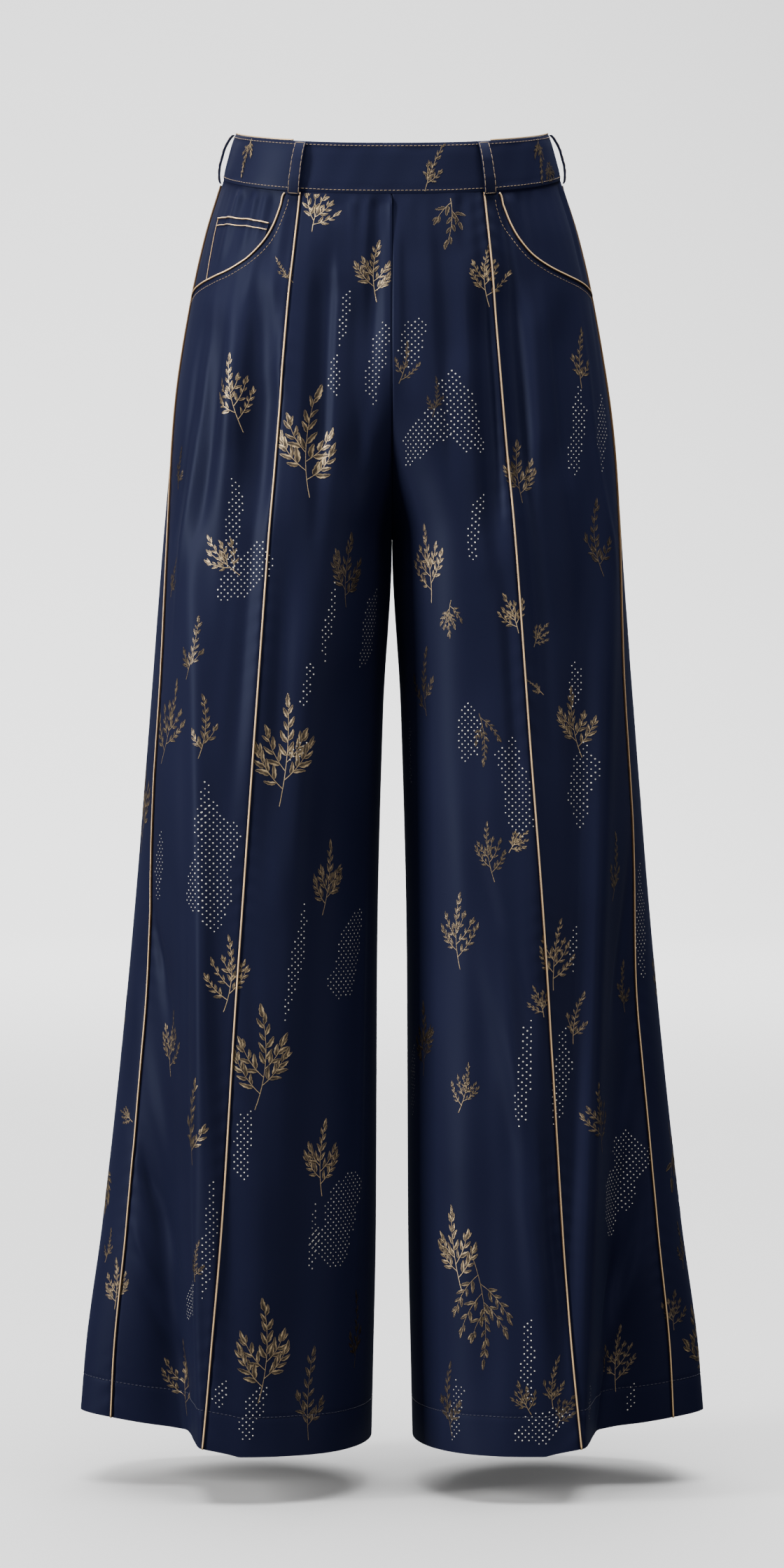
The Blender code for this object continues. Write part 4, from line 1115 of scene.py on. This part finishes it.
def coin_places(across, down):
    """Places and depth of the coin pocket: straight lines from its mouth to its foot."""
    t = np.linspace(0, 1, across)
    mouth_s = COIN_OUTER + (COIN_INNER - COIN_OUTER) * t
    mouth_z = COIN_MOUTH + COIN_RISE * t + COIN_BOW * np.sin(np.pi * t)
    foot_s = COIN_OUTER_FOOT + (COIN_INNER + 0.013 - COIN_OUTER_FOOT) * t
    foot_z = scoop_height(foot_s) + 0.0007
    v = np.linspace(0, 1, down)[:, None]
    s = 1 + mouth_s + (foot_s - mouth_s) * v
    z = mouth_z + (foot_z - mouth_z) * v
    return s, z, COIN_PROUD - yoke_depth(s - 1, z) + yoke_gathers(LEGS["right"], s, z)


class PANTS_OT_pockets(bpy.types.Operator):
    """Build the yokes in the scooped pockets and the coin pocket"""
    bl_idname = "pants.pockets"
    bl_label = "Pockets"

    def execute(self, context):
        across = np.linspace(0.03, 1, 81)
        low = scoop_height(across) - YOKE_UNDERLAP
        z = BAND_SEAM + (low - BAND_SEAM) * np.linspace(0, 1, 61)[:, None]
        s = np.broadcast_to(1 + across, z.shape)
        for word, leg in LEGS.items():
            face = yoke_gathers(leg, s, z) - yoke_depth(across, z)
            item = leg_shell("pocket_yoke_" + word + "_cloth", leg, s, z, face, face - CLOTH)
            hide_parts("pocket_yoke_" + word)
        s, z, face = coin_places(49, 37)
        item = leg_shell("coin_pocket_cloth", LEGS["right"], s, z, face, face - COIN_WALL)
        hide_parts("coin_pocket")
        return {"FINISHED"}


LOOPS = (("belt_loop_front_right", -1.01, -1.04), ("belt_loop_front_left", 1.01, 1.04),
         ("belt_loop_side_right", -2.0, -2.0), ("belt_loop_side_left", 2.0, 2.0),
         ("belt_loop_back", 3.0, 3.0))


def loop_places(s_top, s_foot, rows=41, cols=13):
    """Places of a belt loop, and how far it stands off: a flattened sine of its length."""
    t = np.linspace(0, 1, rows)[:, None]
    top, foot = BAND_TOP - 0.0008, BAND_SEAM - 0.0035
    z = top + (foot - top) * t
    middle = s_top + (s_foot - s_top) * t
    shares = np.linspace(-0.5, 0.5, cols)
    s = np.hstack([LEGS["left"].along(middle, z, LOOP_WIDTH * part) for part in shares])
    stand = BAND_PROUD + 0.0003 + LOOP_STAND * np.minimum(1, np.sin(np.pi * t)**0.7 * 1.1)
    return np.where(s > 3, s - 6, s), z, stand, shares


class PANTS_OT_belt_loops(bpy.types.Operator):
    """Build the five belt loops"""
    bl_idname = "pants.belt_loops"
    bl_label = "Belt Loops"

    def execute(self, context):
        for node, s_top, s_foot in LOOPS:
            s, z, stand, shares = loop_places(s_top, s_foot)
            edge = (0.5 - np.abs(shares)) * LOOP_WIDTH
            soft = 0.00035 * (1 - smooth(edge / 0.0009)) + 0.00015 * bell(edge - 0.0014, 0.0005)
            item = shell(node + "_cloth", both_legs(s, z, stand + LOOP_WALL - soft),
                         both_legs(s, z, stand + soft), pair(shares * LOOP_WIDTH, z))
            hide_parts(node)
        return {"FINISHED"}


class PANTS_OT_piping(bpy.types.Operator):
    """Build the gold piping of the seams, pockets and waist"""
    bl_idname = "pants.piping"
    bl_label = "Piping"

    def execute(self, context):
        radius = context.scene.pants_piping.radius
        gold = look("gold_piping", piping_cloth)
        edge = scoop_line(np.linspace(0.1, 0.985, 120))
        front, side = (np.linspace(BAND_SEAM - 0.0010, HEM, 400),
                       np.linspace(BAND_SEAM - 0.0050, HEM, 420))
        lines = []
        for word, leg in LEGS.items():
            for node, s, z, out in (
                    ("front_piping_", 0 * front + 1, front, 0.0007),
                    ("side_piping_", 0 * side + 2, side, 0.0007),
                    ("pocket_piping_", 1 + edge[:, 0] * 0.999, edge[:, 1] - 0.0006, 0.0006)):
                lines.append((node + word, word, s, z, out + folds(leg, s, z), radius))
        s, z, face = coin_places(49, 37)
        lines += [("coin_pocket_piping", "right", s[0], z[0], face[0] + 0.0005, 0.0007),
                  ("coin_pocket_side_piping", "right", s[:, 0], z[:, 0], face[:, 0] + 0.0002,
                   0.0004)]
        waist = round_waist(np.concatenate([[1.09], np.linspace(1, 3, 160)[9:]]))
        lines.append(("waist_piping", "", waist, BAND_TOP + 0.0006, BAND_PROUD - 0.0008, 0.0006))
        for node, word, line_s, line_z, out, thick in lines:
            sides = 12 if word else 10
            cord = cord_mesh(*line_on(word, line_s, line_z, out), thick, sides)
            item = put(node + "_cord", *cord, gold)
            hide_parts(node)
        v = COIN_LIP / (z[0] - z[-1])
        lip_s, lip_z = s[0] + (s[-1] - s[0]) * v, z[0] + (z[-1] - z[0]) * v
        lip_out = 0.0020 - yoke_depth(lip_s - 1, lip_z) + yoke_gathers(LEGS["right"], lip_s, lip_z)
        cord = cord_mesh(*line_on("right", lip_s, lip_z, lip_out), 0.0005)
        lip = put("coin_pocket_lip_cord", *cord, gold)
        return {"FINISHED"}


def stitch_run(line, out, stitch, gap, radius):
    """A run of stitches along a line of points: each is a short cord of five rings of six
    whose ends dip into the cloth, placed at equal steps of the line's length."""
    length = travelled(line)
    count = max(int((length[-1] + gap) / (stitch + gap)), 1)
    step = length[-1] / count
    t = np.linspace(0, 1, 5)
    at = (np.arange(count) * step)[:, None] + gap / 2 + t * (step - gap)
    middle, normal = (np.stack([np.interp(at, length, axis) for axis in values.T], axis=-1)
                      for values in (line, out))
    normal = unit(normal)
    across = np.cross(unit(middle[:, -1:] - middle[:, :1]), normal)
    rise = radius * (np.sin(np.pi * t)**0.5 - 0.35)
    thick = radius * np.array((0.55, 0.95, 1.0, 0.95, 0.55))
    turn = np.linspace(0, 2 * np.pi, 6, endpoint=False)
    rings = (middle + normal * rise[:, None])[:, :, None] + thick[:, None, None] * (
        np.cos(turn)[:, None] * normal[:, :, None] + np.sin(turn)[:, None] * across[:, :, None])
    ends = [[0, 1, 2, 3], [0, 3, 4, 5], [24, 27, 26, 25], [24, 29, 28, 27]]
    quads = np.concatenate([grid_faces(closed(np.arange(30).reshape(5, 6))), ends])
    quads = quads + (np.arange(count) * 30)[:, None, None]
    uv = np.broadcast_to(pair(t[:, None] * stitch, turn / 6), (count, 5, 6, 2))
    return rings.reshape(-1, 3), quads.reshape(-1, 4), np.zeros((0, 3), int), uv.reshape(-1, 2)


def run_on(word, s, z, out, sewing, long=1.0, gap=1.0):
    """Stitches through the places (s, z) of one leg, or of both when word is empty. The last
    two numbers lengthen the stitches and the gaps."""
    return stitch_run(*line_on(word, s, z, out), sewing.stitch * long, sewing.gap * gap,
                      sewing.radius)


class PANTS_OT_topstitching(bpy.types.Operator):
    """Build the stitches on band, loops, pockets and hems"""
    bl_idname = "pants.topstitching"
    bl_label = "Topstitching"

    def execute(self, context):
        sewing = context.scene.pants_sewing
        gold = look("gold_thread", thread, sewing.colour)
        whole = round_waist(np.linspace(0, 3, 400))
        lines = [run_on("", whole, z, BAND_PROUD + 0.0002, sewing)
                 for z in (BAND_TOP - BAND_STITCH, BAND_SEAM + BAND_STITCH)]
        edge = scoop_line(np.linspace(0.15, 0.985, 200))
        for word, leg in LEGS.items():
            wide = leg.length(edge[:, 1], 1)
            ahead = unit(np.gradient(edge, axis=0) * np.column_stack([wide, np.ones(200)]))
            s = 1 + edge[:, 0] + POCKET_STITCH * ahead[:, 1] / wide
            z = edge[:, 1] - POCKET_STITCH * ahead[:, 0]
            keep = (s > 1.01) & (s < 1.985)
            s, z = s[keep], z[keep]
            lines.append(run_on(word, s, z, relief(leg, s, z), sewing))
        put("gold_topstitching", *join(lines), gold)

        lines = []
        for _, s_top, s_foot in LOOPS:
            s, z, stand, _ = loop_places(s_top, s_foot)
            places = np.stack(np.broadcast_arrays(s, z, stand + LOOP_WALL - 0.0001))
            for line in (places[:, 1:-1, 1], places[:, 1:-1, -2], places[:, 1, 1:-1],
                         places[:, -2, 1:-1]):
                lines.append(run_on("", *line, sewing, 2.0, 0.25))
        put("loop_topstitching", *join(lines), gold)

        s, z = np.linspace(0.01, 2.99, 900), np.full(900, HEM + HEM_DEPTH)
        lines = [run_on(word, s, z, relief(leg, s, z) + 0.0001, sewing)
                 for word, leg in LEGS.items()]
        navy = np.array(context.scene.pants_cloth.colour) * 1.5
        put("hem_stitching", *join(lines), look("navy_thread", thread, navy))
        return {"FINISHED"}


# ---------------------------------------------------------------- foil print
def twig(foot, angle, length, bend, pairs, leaf, first=0.3):
    """A twig from its foot: its direction (turned from upright), length, how far it bends,
    its pairs of leaves, their length and where the first pair is."""
    return {"foot": np.asarray(foot, float), "angle": angle, "length": length, "bend": bend,
            "pairs": pairs, "leaf": leaf, "first": first}


def grow(part, rng):
    """A twig's middle line, which turns evenly, and a row for each leaf: foot, direction,
    length. Leaves go in uneven pairs, smaller and more closed towards the tip."""
    t = np.linspace(0, 1, 12)
    turn = part["angle"] + part["bend"] * t
    steps = part["length"] / 11 * np.column_stack([np.sin(turn), np.cos(turn)])[:-1]
    line = part["foot"] + np.concatenate([[[0.0, 0.0]], np.cumsum(steps, axis=0)])
    pairs, first, leaf = part["pairs"], part["first"], part["leaf"]
    at = np.repeat(np.linspace(first, 0.90, pairs), 2)
    at[1::2] += 0.40 * (0.90 - first) / pairs
    at = np.clip(at + rng.uniform(-0.02, 0.02, 2 * pairs), 0.05, 0.98)
    side = np.tile([-1.0, 1.0], pairs)
    way = part["angle"] + part["bend"] * at + side * LEAF_OPEN * (1.15 - 0.5 * at)
    way += rng.uniform(-0.12, 0.12, 2 * pairs)
    size = leaf * (1.12 - 0.38 * at) * rng.uniform(0.80, 1.12, 2 * pairs)
    at = np.append(at, 1.0)
    way = np.append(way, part["angle"] + part["bend"] + rng.uniform(-0.08, 0.08))
    feet = np.column_stack([np.interp(at, t, axis) for axis in line.T])
    return line, np.column_stack([feet, way, np.append(size, leaf * 0.95)])


# Each kind of sprig: the length of its leaves, its pairs of them on the main twig, where the
# first is, and a row for each side twig: where it leaves, its turn, its length and its pairs.
KINDS = {
    "branch": (0.170, 4, 0.50, ((2, 0.85, 0.40, 4), (3, -0.90, 0.38, 4), (4, 0.80, 0.34, 3),
                                (5, -0.80, 0.30, 3))),
    "fine": (0.125, 5, 0.46, ((2, 0.90, 0.44, 4), (3, -0.90, 0.38, 4), (4, 0.80, 0.36, 3),
                              (5, -0.80, 0.30, 3), (6, 0.70, 0.22, 2))),
    "frond": (0.150, 6, 0.22, ((2, 0.75, 0.30, 3), (3, -0.75, 0.26, 2))),
    "fork": (0.150, 5, 0.36, ((1, -0.85, 0.58, 4), (3, 0.80, 0.34, 3))),
    "outline": (0.230, 3, 0.40, ((2, 0.85, 0.40, 2), (4, -0.85, 0.30, 1))),
    "spray": (0.200, 3, 0.50, ((2, 0.95, 0.50, 3), (3, -0.90, 0.50, 3), (4, 0.60, 0.42, 3),
                               (4, -0.5, 0.4, 2))),
}


def sprig(kind, rng):
    """The twigs of one sprig of unit height, its foot at the origin: a bent main twig, and
    side twigs by turns on its left and right, shorter towards the tip."""
    flip = rng.choice([-1.0, 1.0])
    bend = rng.uniform(0.25, 0.60) * flip
    leaf, pairs, first, sides = KINDS[kind]
    main = twig((0, 0), -bend * 0.55, 0.98, bend, pairs, leaf, first)
    stem = grow(main, np.random.default_rng(1))[0]
    out = [main]
    for node, turn, size, count in sides:
        turn, size = turn * flip * rng.uniform(0.85, 1.15), size * rng.uniform(0.85, 1.12)
        out.append(twig(stem[node], turn, size, -turn * 0.55, count, leaf * 0.92, 0.20))
    return out


BLADE = np.array((0.0, 0.12, 0.30, 0.44, 0.60, 0.74, 0.88, 1.0))
BLADE_WIDTH = np.array((0.04, 0.60, 1.0, 0.80, 0.92, 0.56, 0.42, 0.02))
BLADE_LINES = np.array((-1.0, -0.50, 0.0, 0.50, 1.0))


def turned(ahead):
    """Flat directions turned a quarter to the right."""
    return np.column_stack([ahead[:, 1], -ahead[:, 0]])


def leaf_blades(leaves, hollow, rng):
    """A grid of five lines for each leaf: edge, blade, midrib, blade, edge, whose distance from
    the midrib swells and tapers along it. The edges are brightest, and a painted highlight, a bell
    of light, lies somewhere along one half of the blade, which is painted lit while the other half
    is painted in shade."""
    count = len(leaves)
    foot, way, size = leaves[:, :2], leaves[:, 2], leaves[:, 3]
    ahead = np.column_stack([np.sin(way), np.cos(way)])
    wide = size * rng.uniform(0.135, 0.190, count)
    curve = rng.uniform(-0.08, 0.08, count) * size
    off = (wide[:, None, None] * BLADE_LINES[:, None] * BLADE_WIDTH
           + (curve[:, None] * np.sin(np.pi * BLADE))[:, None])
    along = (0.06 + BLADE * 0.94) * size[:, None, None]
    points = (foot[:, None, None] + ahead[:, None, None] * along[..., None]
              + turned(ahead)[:, None, None] * off[..., None])
    index = np.arange(count * 40).reshape(count, 5, 8)
    quads = np.concatenate([strips(index[:, a, :-1], index[:, a, 1:], index[:, a + 1, 1:],
                                   index[:, a + 1, :-1]) for a in range(4)])
    # painted highlight and shade: a bell of light somewhere along each leaf, with one half of the
    # blade painted lit and the other dim
    light = rng.uniform(0.25, 0.75, count)[:, None]
    painted_highlight = bell(BLADE - light, 0.24) * (0.15 if hollow else 1.0)
    painted_lit_half, painted_shaded_half = 0.38 + 0.67 * painted_highlight, 0.12 + 0.32 * painted_highlight
    flip = (rng.random(count) < 0.5)[:, None]
    edge = np.broadcast_to(0.86 + 0.14 * np.cos(6 * BLADE), (count, 8))
    bright = np.stack([edge, np.where(flip, painted_lit_half, painted_shaded_half), 0.15 + 0.20 * painted_highlight,
                       np.where(flip, painted_shaded_half, painted_lit_half), edge], axis=1)
    bright = np.clip(bright * rng.uniform(0.78, 1.0, count)[:, None, None], 0, 1)
    return points.reshape(-1, 2), quads, bright.reshape(-1)


def stem_ribbon(line, wide):
    """A ribbon along a twig's line that narrows to its tip."""
    across = turned(unit(np.gradient(line, axis=0)))
    across = across * (wide * np.linspace(1.0, 0.45, len(line)))[:, None]
    index = np.arange(2 * len(line)).reshape(2, -1)
    quads = strips(index[0, :-1], index[0, 1:], index[1, 1:], index[1, :-1])
    return np.concatenate([line - across, line + across]), quads, np.full(2 * len(line), 0.75)


def sprig_patch(row, rng):
    """Flat points in metres about a sprig's middle, faces and tone."""
    parts = []
    for line, leaves in [grow(part, rng) for part in sprig(row["kind"], rng)]:
        parts += [leaf_blades(leaves, row["kind"] == "outline", rng),
                  stem_ribbon(line, STEM_WIDTH / row["height"])]
    points, quads, tones = join(parts, faces=(1,))
    points -= [(points[:, 0].min() + points[:, 0].max()) / 2, 0.5]
    turn = np.radians(row["turn"])
    spin = np.array([[np.cos(turn), -np.sin(turn)], [np.sin(turn), np.cos(turn)]])
    return points * row["height"] @ spin, quads, tones * row["tone"]


def lay(leg, middle, z_middle, flat, band):
    """Flat points laid on the cloth about a middle place: the first coordinate goes round it
    towards the wearer's left in front, the second straight up. Also which points lie on the
    cloth and not past its edges, and the outward directions."""
    z = z_middle + flat[:, 1]
    line = leg.at(np.full(3, middle), z_middle + np.array((-0.02, 0.0, 0.02)))
    slope = abs(line[2, 0]) - abs(line[0, 0])
    upright = smooth((1.7 - middle) / 0.3) - smooth((middle - 2.3) / 0.3)
    u = (leg.arc(np.full(len(z), float(middle)), z) + flat[:, 0] * leg.side
         - upright * slope / 0.04 * flat[:, 1])
    s = leg.place(u, z)
    low, high = ((BAND_SEAM + 0.001, BAND_TOP - 0.001) if band
                 else (HEM + 0.0008, BAND_SEAM - 0.0008))
    inside = (s > 0.006) & (s < 2.994) & (z > low) & (z < high)
    s, z = np.clip(s, 0.006, 2.994), np.clip(z, low, high)
    lift = BAND_PROUD + 0.00040 if band else relief(leg, s, z)
    point, normal = leg.point_and_normal(s, z)
    return point + normal * (lift + FOIL_HEIGHT + 0 * z)[..., None], inside, normal


def decal(name, leg, patches, surface):
    """One joined piece of flat patches laid on a leg, less the faces past the cloth's edges,
    all facing outwards, with the tone of each point."""
    parts = []
    for row, band, (flat, faces, tone) in patches:
        laid, inside, out = lay(leg, row["s"], row["z"], flat, band)
        parts.append((laid, faces[inside[faces].all(axis=1)], tone, out))
    points, quads, tones, outs = join(parts, faces=(1,))
    a, b, c = (points[quads[:, number]] for number in (0, 1, 2))
    wrong = np.sum(np.cross(b - a, c - a) * outs[quads[:, 0]], axis=1) < 0
    quads = np.where(wrong[:, None], quads[:, ::-1], quads)
    used, quads = np.unique(quads, return_inverse=True)
    points = points[used]
    item = put(name, points, quads, (), points[:, [0, 2]], surface)
    layer = item.data.attributes.new("tone", "FLOAT", "POINT")
    layer.data.foreach_set("value", tones[used].astype(np.float32))


def behind(leg, rng, heights, first, shift, spare, step, jitter, last):
    """Places in uneven rows on the back panel, whose rows start further in by turns."""
    for number, z in enumerate(heights):
        for u in np.arange(first + shift * (number % 2), float(leg.length(z, 2)) - spare, step):
            place = leg.length(z, 1) + u + rng.uniform(-jitter, jitter)
            yield min(float(leg.place(place, z)), last), z


def hidden_sprigs(leg, rng):
    """Sprigs for the back panel, in uneven rows at the same spacing as in front."""
    return [(leg.side, s, z + rng.uniform(-0.02, 0.02), rng.uniform(0.036, 0.075),
             rng.uniform(-20, 20) + 180 * (rng.random() < 0.12),
             str(rng.choice(["branch", "fine", "frond", "spray", "fork", "outline"])),
             rng.uniform(0.5, 0.95))
            for s, z in behind(leg, rng, np.arange(-0.075, -0.98, -0.074), 0.045, 0.035, 0.03,
                               0.082, 0.016, 2.93)]


class PANTS_OT_foil_sprigs(bpy.types.Operator):
    """Lay the foil leaf sprigs on the cloth"""
    bl_idname = "pants.foil_sprigs"
    bl_label = "Foil Sprigs"

    def execute(self, context):
        print_ = context.scene.pants_print
        gold = look("gold_foil", foil, tuple(print_.dark), tuple(print_.bright), 0.7)
        for word, leg in LEGS.items():
            rng = np.random.default_rng(print_.seed + leg.side)
            tables = ((False, SPRIGS + tuple(hidden_sprigs(leg, rng))), (True, BAND_SPRIGS))
            patches = [(row, band, sprig_patch(row, rng)) for band, table in tables
                       for row in rows_for(table, SPRIG_COLUMNS, leg.side)]
            decal("foil_sprigs_" + word, leg, patches, gold)
        return {"FINISHED"}


def dot_patch(row, pitch, radius, rng):
    """Small octagons on a staggered grid inside a shape made of three leaning ellipses with
    an uneven edge."""
    wide, high = row["half_width"], row["half_height"]
    b = np.arange(-high * 1.15, high * 1.15, pitch / 2)
    a = np.arange(-wide * 1.4, wide * 1.4, pitch)
    b, a = (grid.copy() for grid in np.meshgrid(b, a, indexing="ij"))
    a[1::2] += pitch / 2
    inside = np.zeros(a.shape, bool)
    for shift in ((0.0, 0.0), (0.28, 0.34), (-0.26, -0.38)):
        da, db = shift + rng.uniform(-0.12, 0.12, 2)
        x = (a - row["lean"] * b / high - da * wide) / (wide * 0.80)
        y = (b - db * high) / (high * 0.60)
        angle = np.arctan2(y, x)
        edge = 1 + sum(rise * np.sin(waves * angle + rng.uniform(0, 6))
                       for rise, waves in ((0.16, 3), (0.10, 5)))
        inside |= np.hypot(x, y) < edge
    a, b = a[inside], b[inside]
    a = a + rng.normal(0, pitch * 0.02, len(a))
    turn = np.linspace(0, 2 * np.pi, 8, endpoint=False)
    size = radius * rng.uniform(0.82, 1.12, len(a))[:, None]
    points = pair(a[:, None] + size * np.cos(turn), b[:, None] + size * np.sin(turn))
    index = np.arange(len(a) * 8).reshape(-1, 8)
    quads = np.concatenate([index[:, corners]
                            for corners in ([0, 1, 2, 3], [0, 3, 4, 7], [4, 5, 6, 7])])
    tone = np.repeat(rng.uniform(0.85, 1.05, len(a)), 8) * row["tone"]
    return points.reshape(-1, 2), quads, tone


def hidden_dots(leg, rng):
    """Patches of dots for the back panel."""
    return [(leg.side, s, z + rng.uniform(-0.03, 0.03), rng.uniform(0.010, 0.028),
             rng.uniform(0.020, 0.050), rng.uniform(-0.012, 0.012), rng.uniform(0.6, 1.0))
            for s, z in behind(leg, rng, np.arange(-0.14, -0.99, -0.120), 0.07, 0.05, 0.04,
                               0.120, 0.02, 2.9)]


class PANTS_OT_foil_dots(bpy.types.Operator):
    """Lay the patches of foil pin dots on the cloth"""
    bl_idname = "pants.foil_dots"
    bl_label = "Foil Dots"

    def execute(self, context):
        print_ = context.scene.pants_print
        silver = look("pale_foil", foil, tuple(print_.dark), (1.0, 0.97, 0.88), 0.1)
        for word, leg in LEGS.items():
            rng = np.random.default_rng(print_.seed + 20 + leg.side)
            table = DOTS + tuple(hidden_dots(leg, rng))
            patches = [(row, False, dot_patch(row, print_.pitch, print_.dot, rng))
                       for row in rows_for(table, DOT_COLUMNS, leg.side)]
            decal("foil_dots_" + word, leg, patches, silver)
        return {"FINISHED"}


# ---------------------------------------------------------------- stage
def area_light(name, place, target, size, power, colour):
    """A rectangular lamp at a place, turned towards a target and hidden from the camera."""
    data = bpy.data.lights.new(name, "AREA")
    data.shape, data.size, data.size_y = "RECTANGLE", *size
    data.energy, data.color = power, colour
    lamp = bpy.data.objects.new(name, data)
    lamp.location = place
    lamp.visible_camera = False
    lamp.rotation_euler = (Vector(target) - Vector(place)).to_track_quat("-Z", "Y").to_euler()
    bpy.context.scene.collection.objects.link(lamp)


class PANTS_OT_stage(bpy.types.Operator):
    """Build the pale floor, the lights and the camera"""
    bl_idname = "pants.stage"
    bl_label = "Stage"

    def execute(self, context):
        stage = context.scene.pants_stage
        turn = np.linspace(0, np.pi / 2, 24)[1:]
        y = np.concatenate([np.linspace(-7.0, WALL_Y, 20), WALL_Y + BEND * np.sin(turn),
                            np.full(12, WALL_Y + BEND)])
        z = np.concatenate([np.full(20, FLOOR_Z), FLOOR_Z + BEND * (1 - np.cos(turn)),
                            np.linspace(FLOOR_Z + BEND, FLOOR_Z + 7.0, 13)[1:]])
        points = np.stack(np.broadcast_arrays(np.linspace(-8, 8, 9), y[:, None], z[:, None]), -1)
        data = bpy.data.meshes.new("studio_floor")
        faces = grid_faces(np.arange(len(y) * 9).reshape(-1, 9))[:, ::-1]
        data.from_pydata(points.reshape(-1, 3).tolist(), [], faces.tolist())
        data.shade_smooth()
        made, tree, shader = material("studio_grey")
        grey = np.array(stage.floor)
        feed(tree, shader, {
            "Base Color": mix_colour(tree, noise(tree, 0.8, 2.0), grey * 0.985, grey * 1.015),
            "Roughness": 0.9, "Specular IOR Level": 0.1})
        data.materials.append(made)
        floor = bpy.data.objects.new("studio_floor", data)
        context.scene.collection.objects.link(floor)

        floor.visible_diffuse = False
        floor.visible_glossy = False
        white = (1.0, 1.0, 1.0)
        for light in (
                ("key_light", (-4.1, -1.7, 0.7), (0, 0, -0.5), (1.2, 2.8), stage.key,
                 (1.0, 0.99, 0.98)),
                ("front_light", (0.3, -4.6, 0.6), (0, 0, -0.5), (1.6, 2.4), stage.fill,
                 (1.0, 0.98, 0.97)),
                ("right_light", (3.4, -2.6, -0.9), (0, 0, -0.8), (1.0, 2.0), stage.fill * 0.6,
                 (1.0, 0.95, 0.93)),
                ("top_light", (0.2, -0.5, 3.2), (0.2, -0.3, -1.0), (3.6, 3.0), stage.top, white),
                ("wall_light", (-1.2, 6.4, 3.6), (-0.3, 11.4, 0.4), (6.0, 1.0), stage.wall, white),
                ("far_light", (-0.6, 5.2, 3.4), (-0.6, 5.2, -1.0), (6.0, 5.0), stage.wall, white)):
            area_light(*light)
        world = bpy.data.worlds.new("studio")
        world.use_nodes = True
        feed(world.node_tree, world.node_tree.nodes["Background"],
             {"Color": (0.90, 0.93, 1.0, 1), "Strength": stage.world})
        context.scene.world = world

        data = bpy.data.cameras.new("camera")
        data.sensor_fit, data.sensor_width, data.lens = "AUTO", SENSOR, SENSOR * LENS_SHARE
        data.clip_end = 60
        camera = bpy.data.objects.new("camera", data)
        camera.location = (0.0, -4.0, -0.386)
        camera.rotation_euler = (np.radians(90 - 1.6), 0, 0)
        context.scene.collection.objects.link(camera)
        context.scene.camera = camera
        return {"FINISHED"}


class PANTS_PT_panel(bpy.types.Panel):
    """Sidebar panel with the settings and the pieces"""
    bl_idname = "PANTS_PT_panel"
    bl_label = "Palazzo Pants"
    bl_space_type = "VIEW_3D"
    bl_region_type = "UI"
    bl_category = "Pants"

    def draw(self, context):
        for group in SETTINGS:
            box = self.layout.box()
            box.label(text=group.split("_")[1].capitalize())
            settings = getattr(context.scene, group)
            for name in settings.__annotations__:
                box.prop(settings, name)
        for operator in OPERATORS:
            self.layout.operator(operator.bl_idname)


OPERATORS = (PANTS_OT_leg_panels, PANTS_OT_waistband, PANTS_OT_pockets, PANTS_OT_belt_loops,
             PANTS_OT_piping, PANTS_OT_topstitching, PANTS_OT_foil_sprigs, PANTS_OT_foil_dots,
             PANTS_OT_stage)
SETTINGS = {"pants_cloth": ClothSettings, "pants_piping": PipingSettings,
            "pants_sewing": SewingSettings, "pants_print": PrintSettings,
            "pants_stage": StageSettings}


def register():
    """Adds the settings, operators and panel."""
    for name, group in SETTINGS.items():
        bpy.utils.register_class(group)
        setattr(bpy.types.Scene, name, PointerProperty(type=group))
    for item in (*OPERATORS, PANTS_PT_panel):
        bpy.utils.register_class(item)


def unregister():
    """Takes the panel, operators and settings away again."""
    for item in (PANTS_PT_panel, *reversed(OPERATORS)):
        bpy.utils.unregister_class(item)
    for name, group in SETTINGS.items():
        delattr(bpy.types.Scene, name)
        bpy.utils.unregister_class(group)


def main():
    """Builds every piece in turn, then the stage."""
    for old in [item for item in bpy.data.objects if item.name in ("Cube", "Light", "Camera")]:
        bpy.data.objects.remove(old, do_unlink=True)
    register()
    crepe_group()
    for name in ("leg_panels", "waistband", "pockets", "belt_loops", "piping", "topstitching",
                 "foil_sprigs", "foil_dots", "stage"):
        getattr(bpy.ops.pants, name)()
    bpy.context.view_layer.update()
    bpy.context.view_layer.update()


if __name__ == "__main__":
    main()
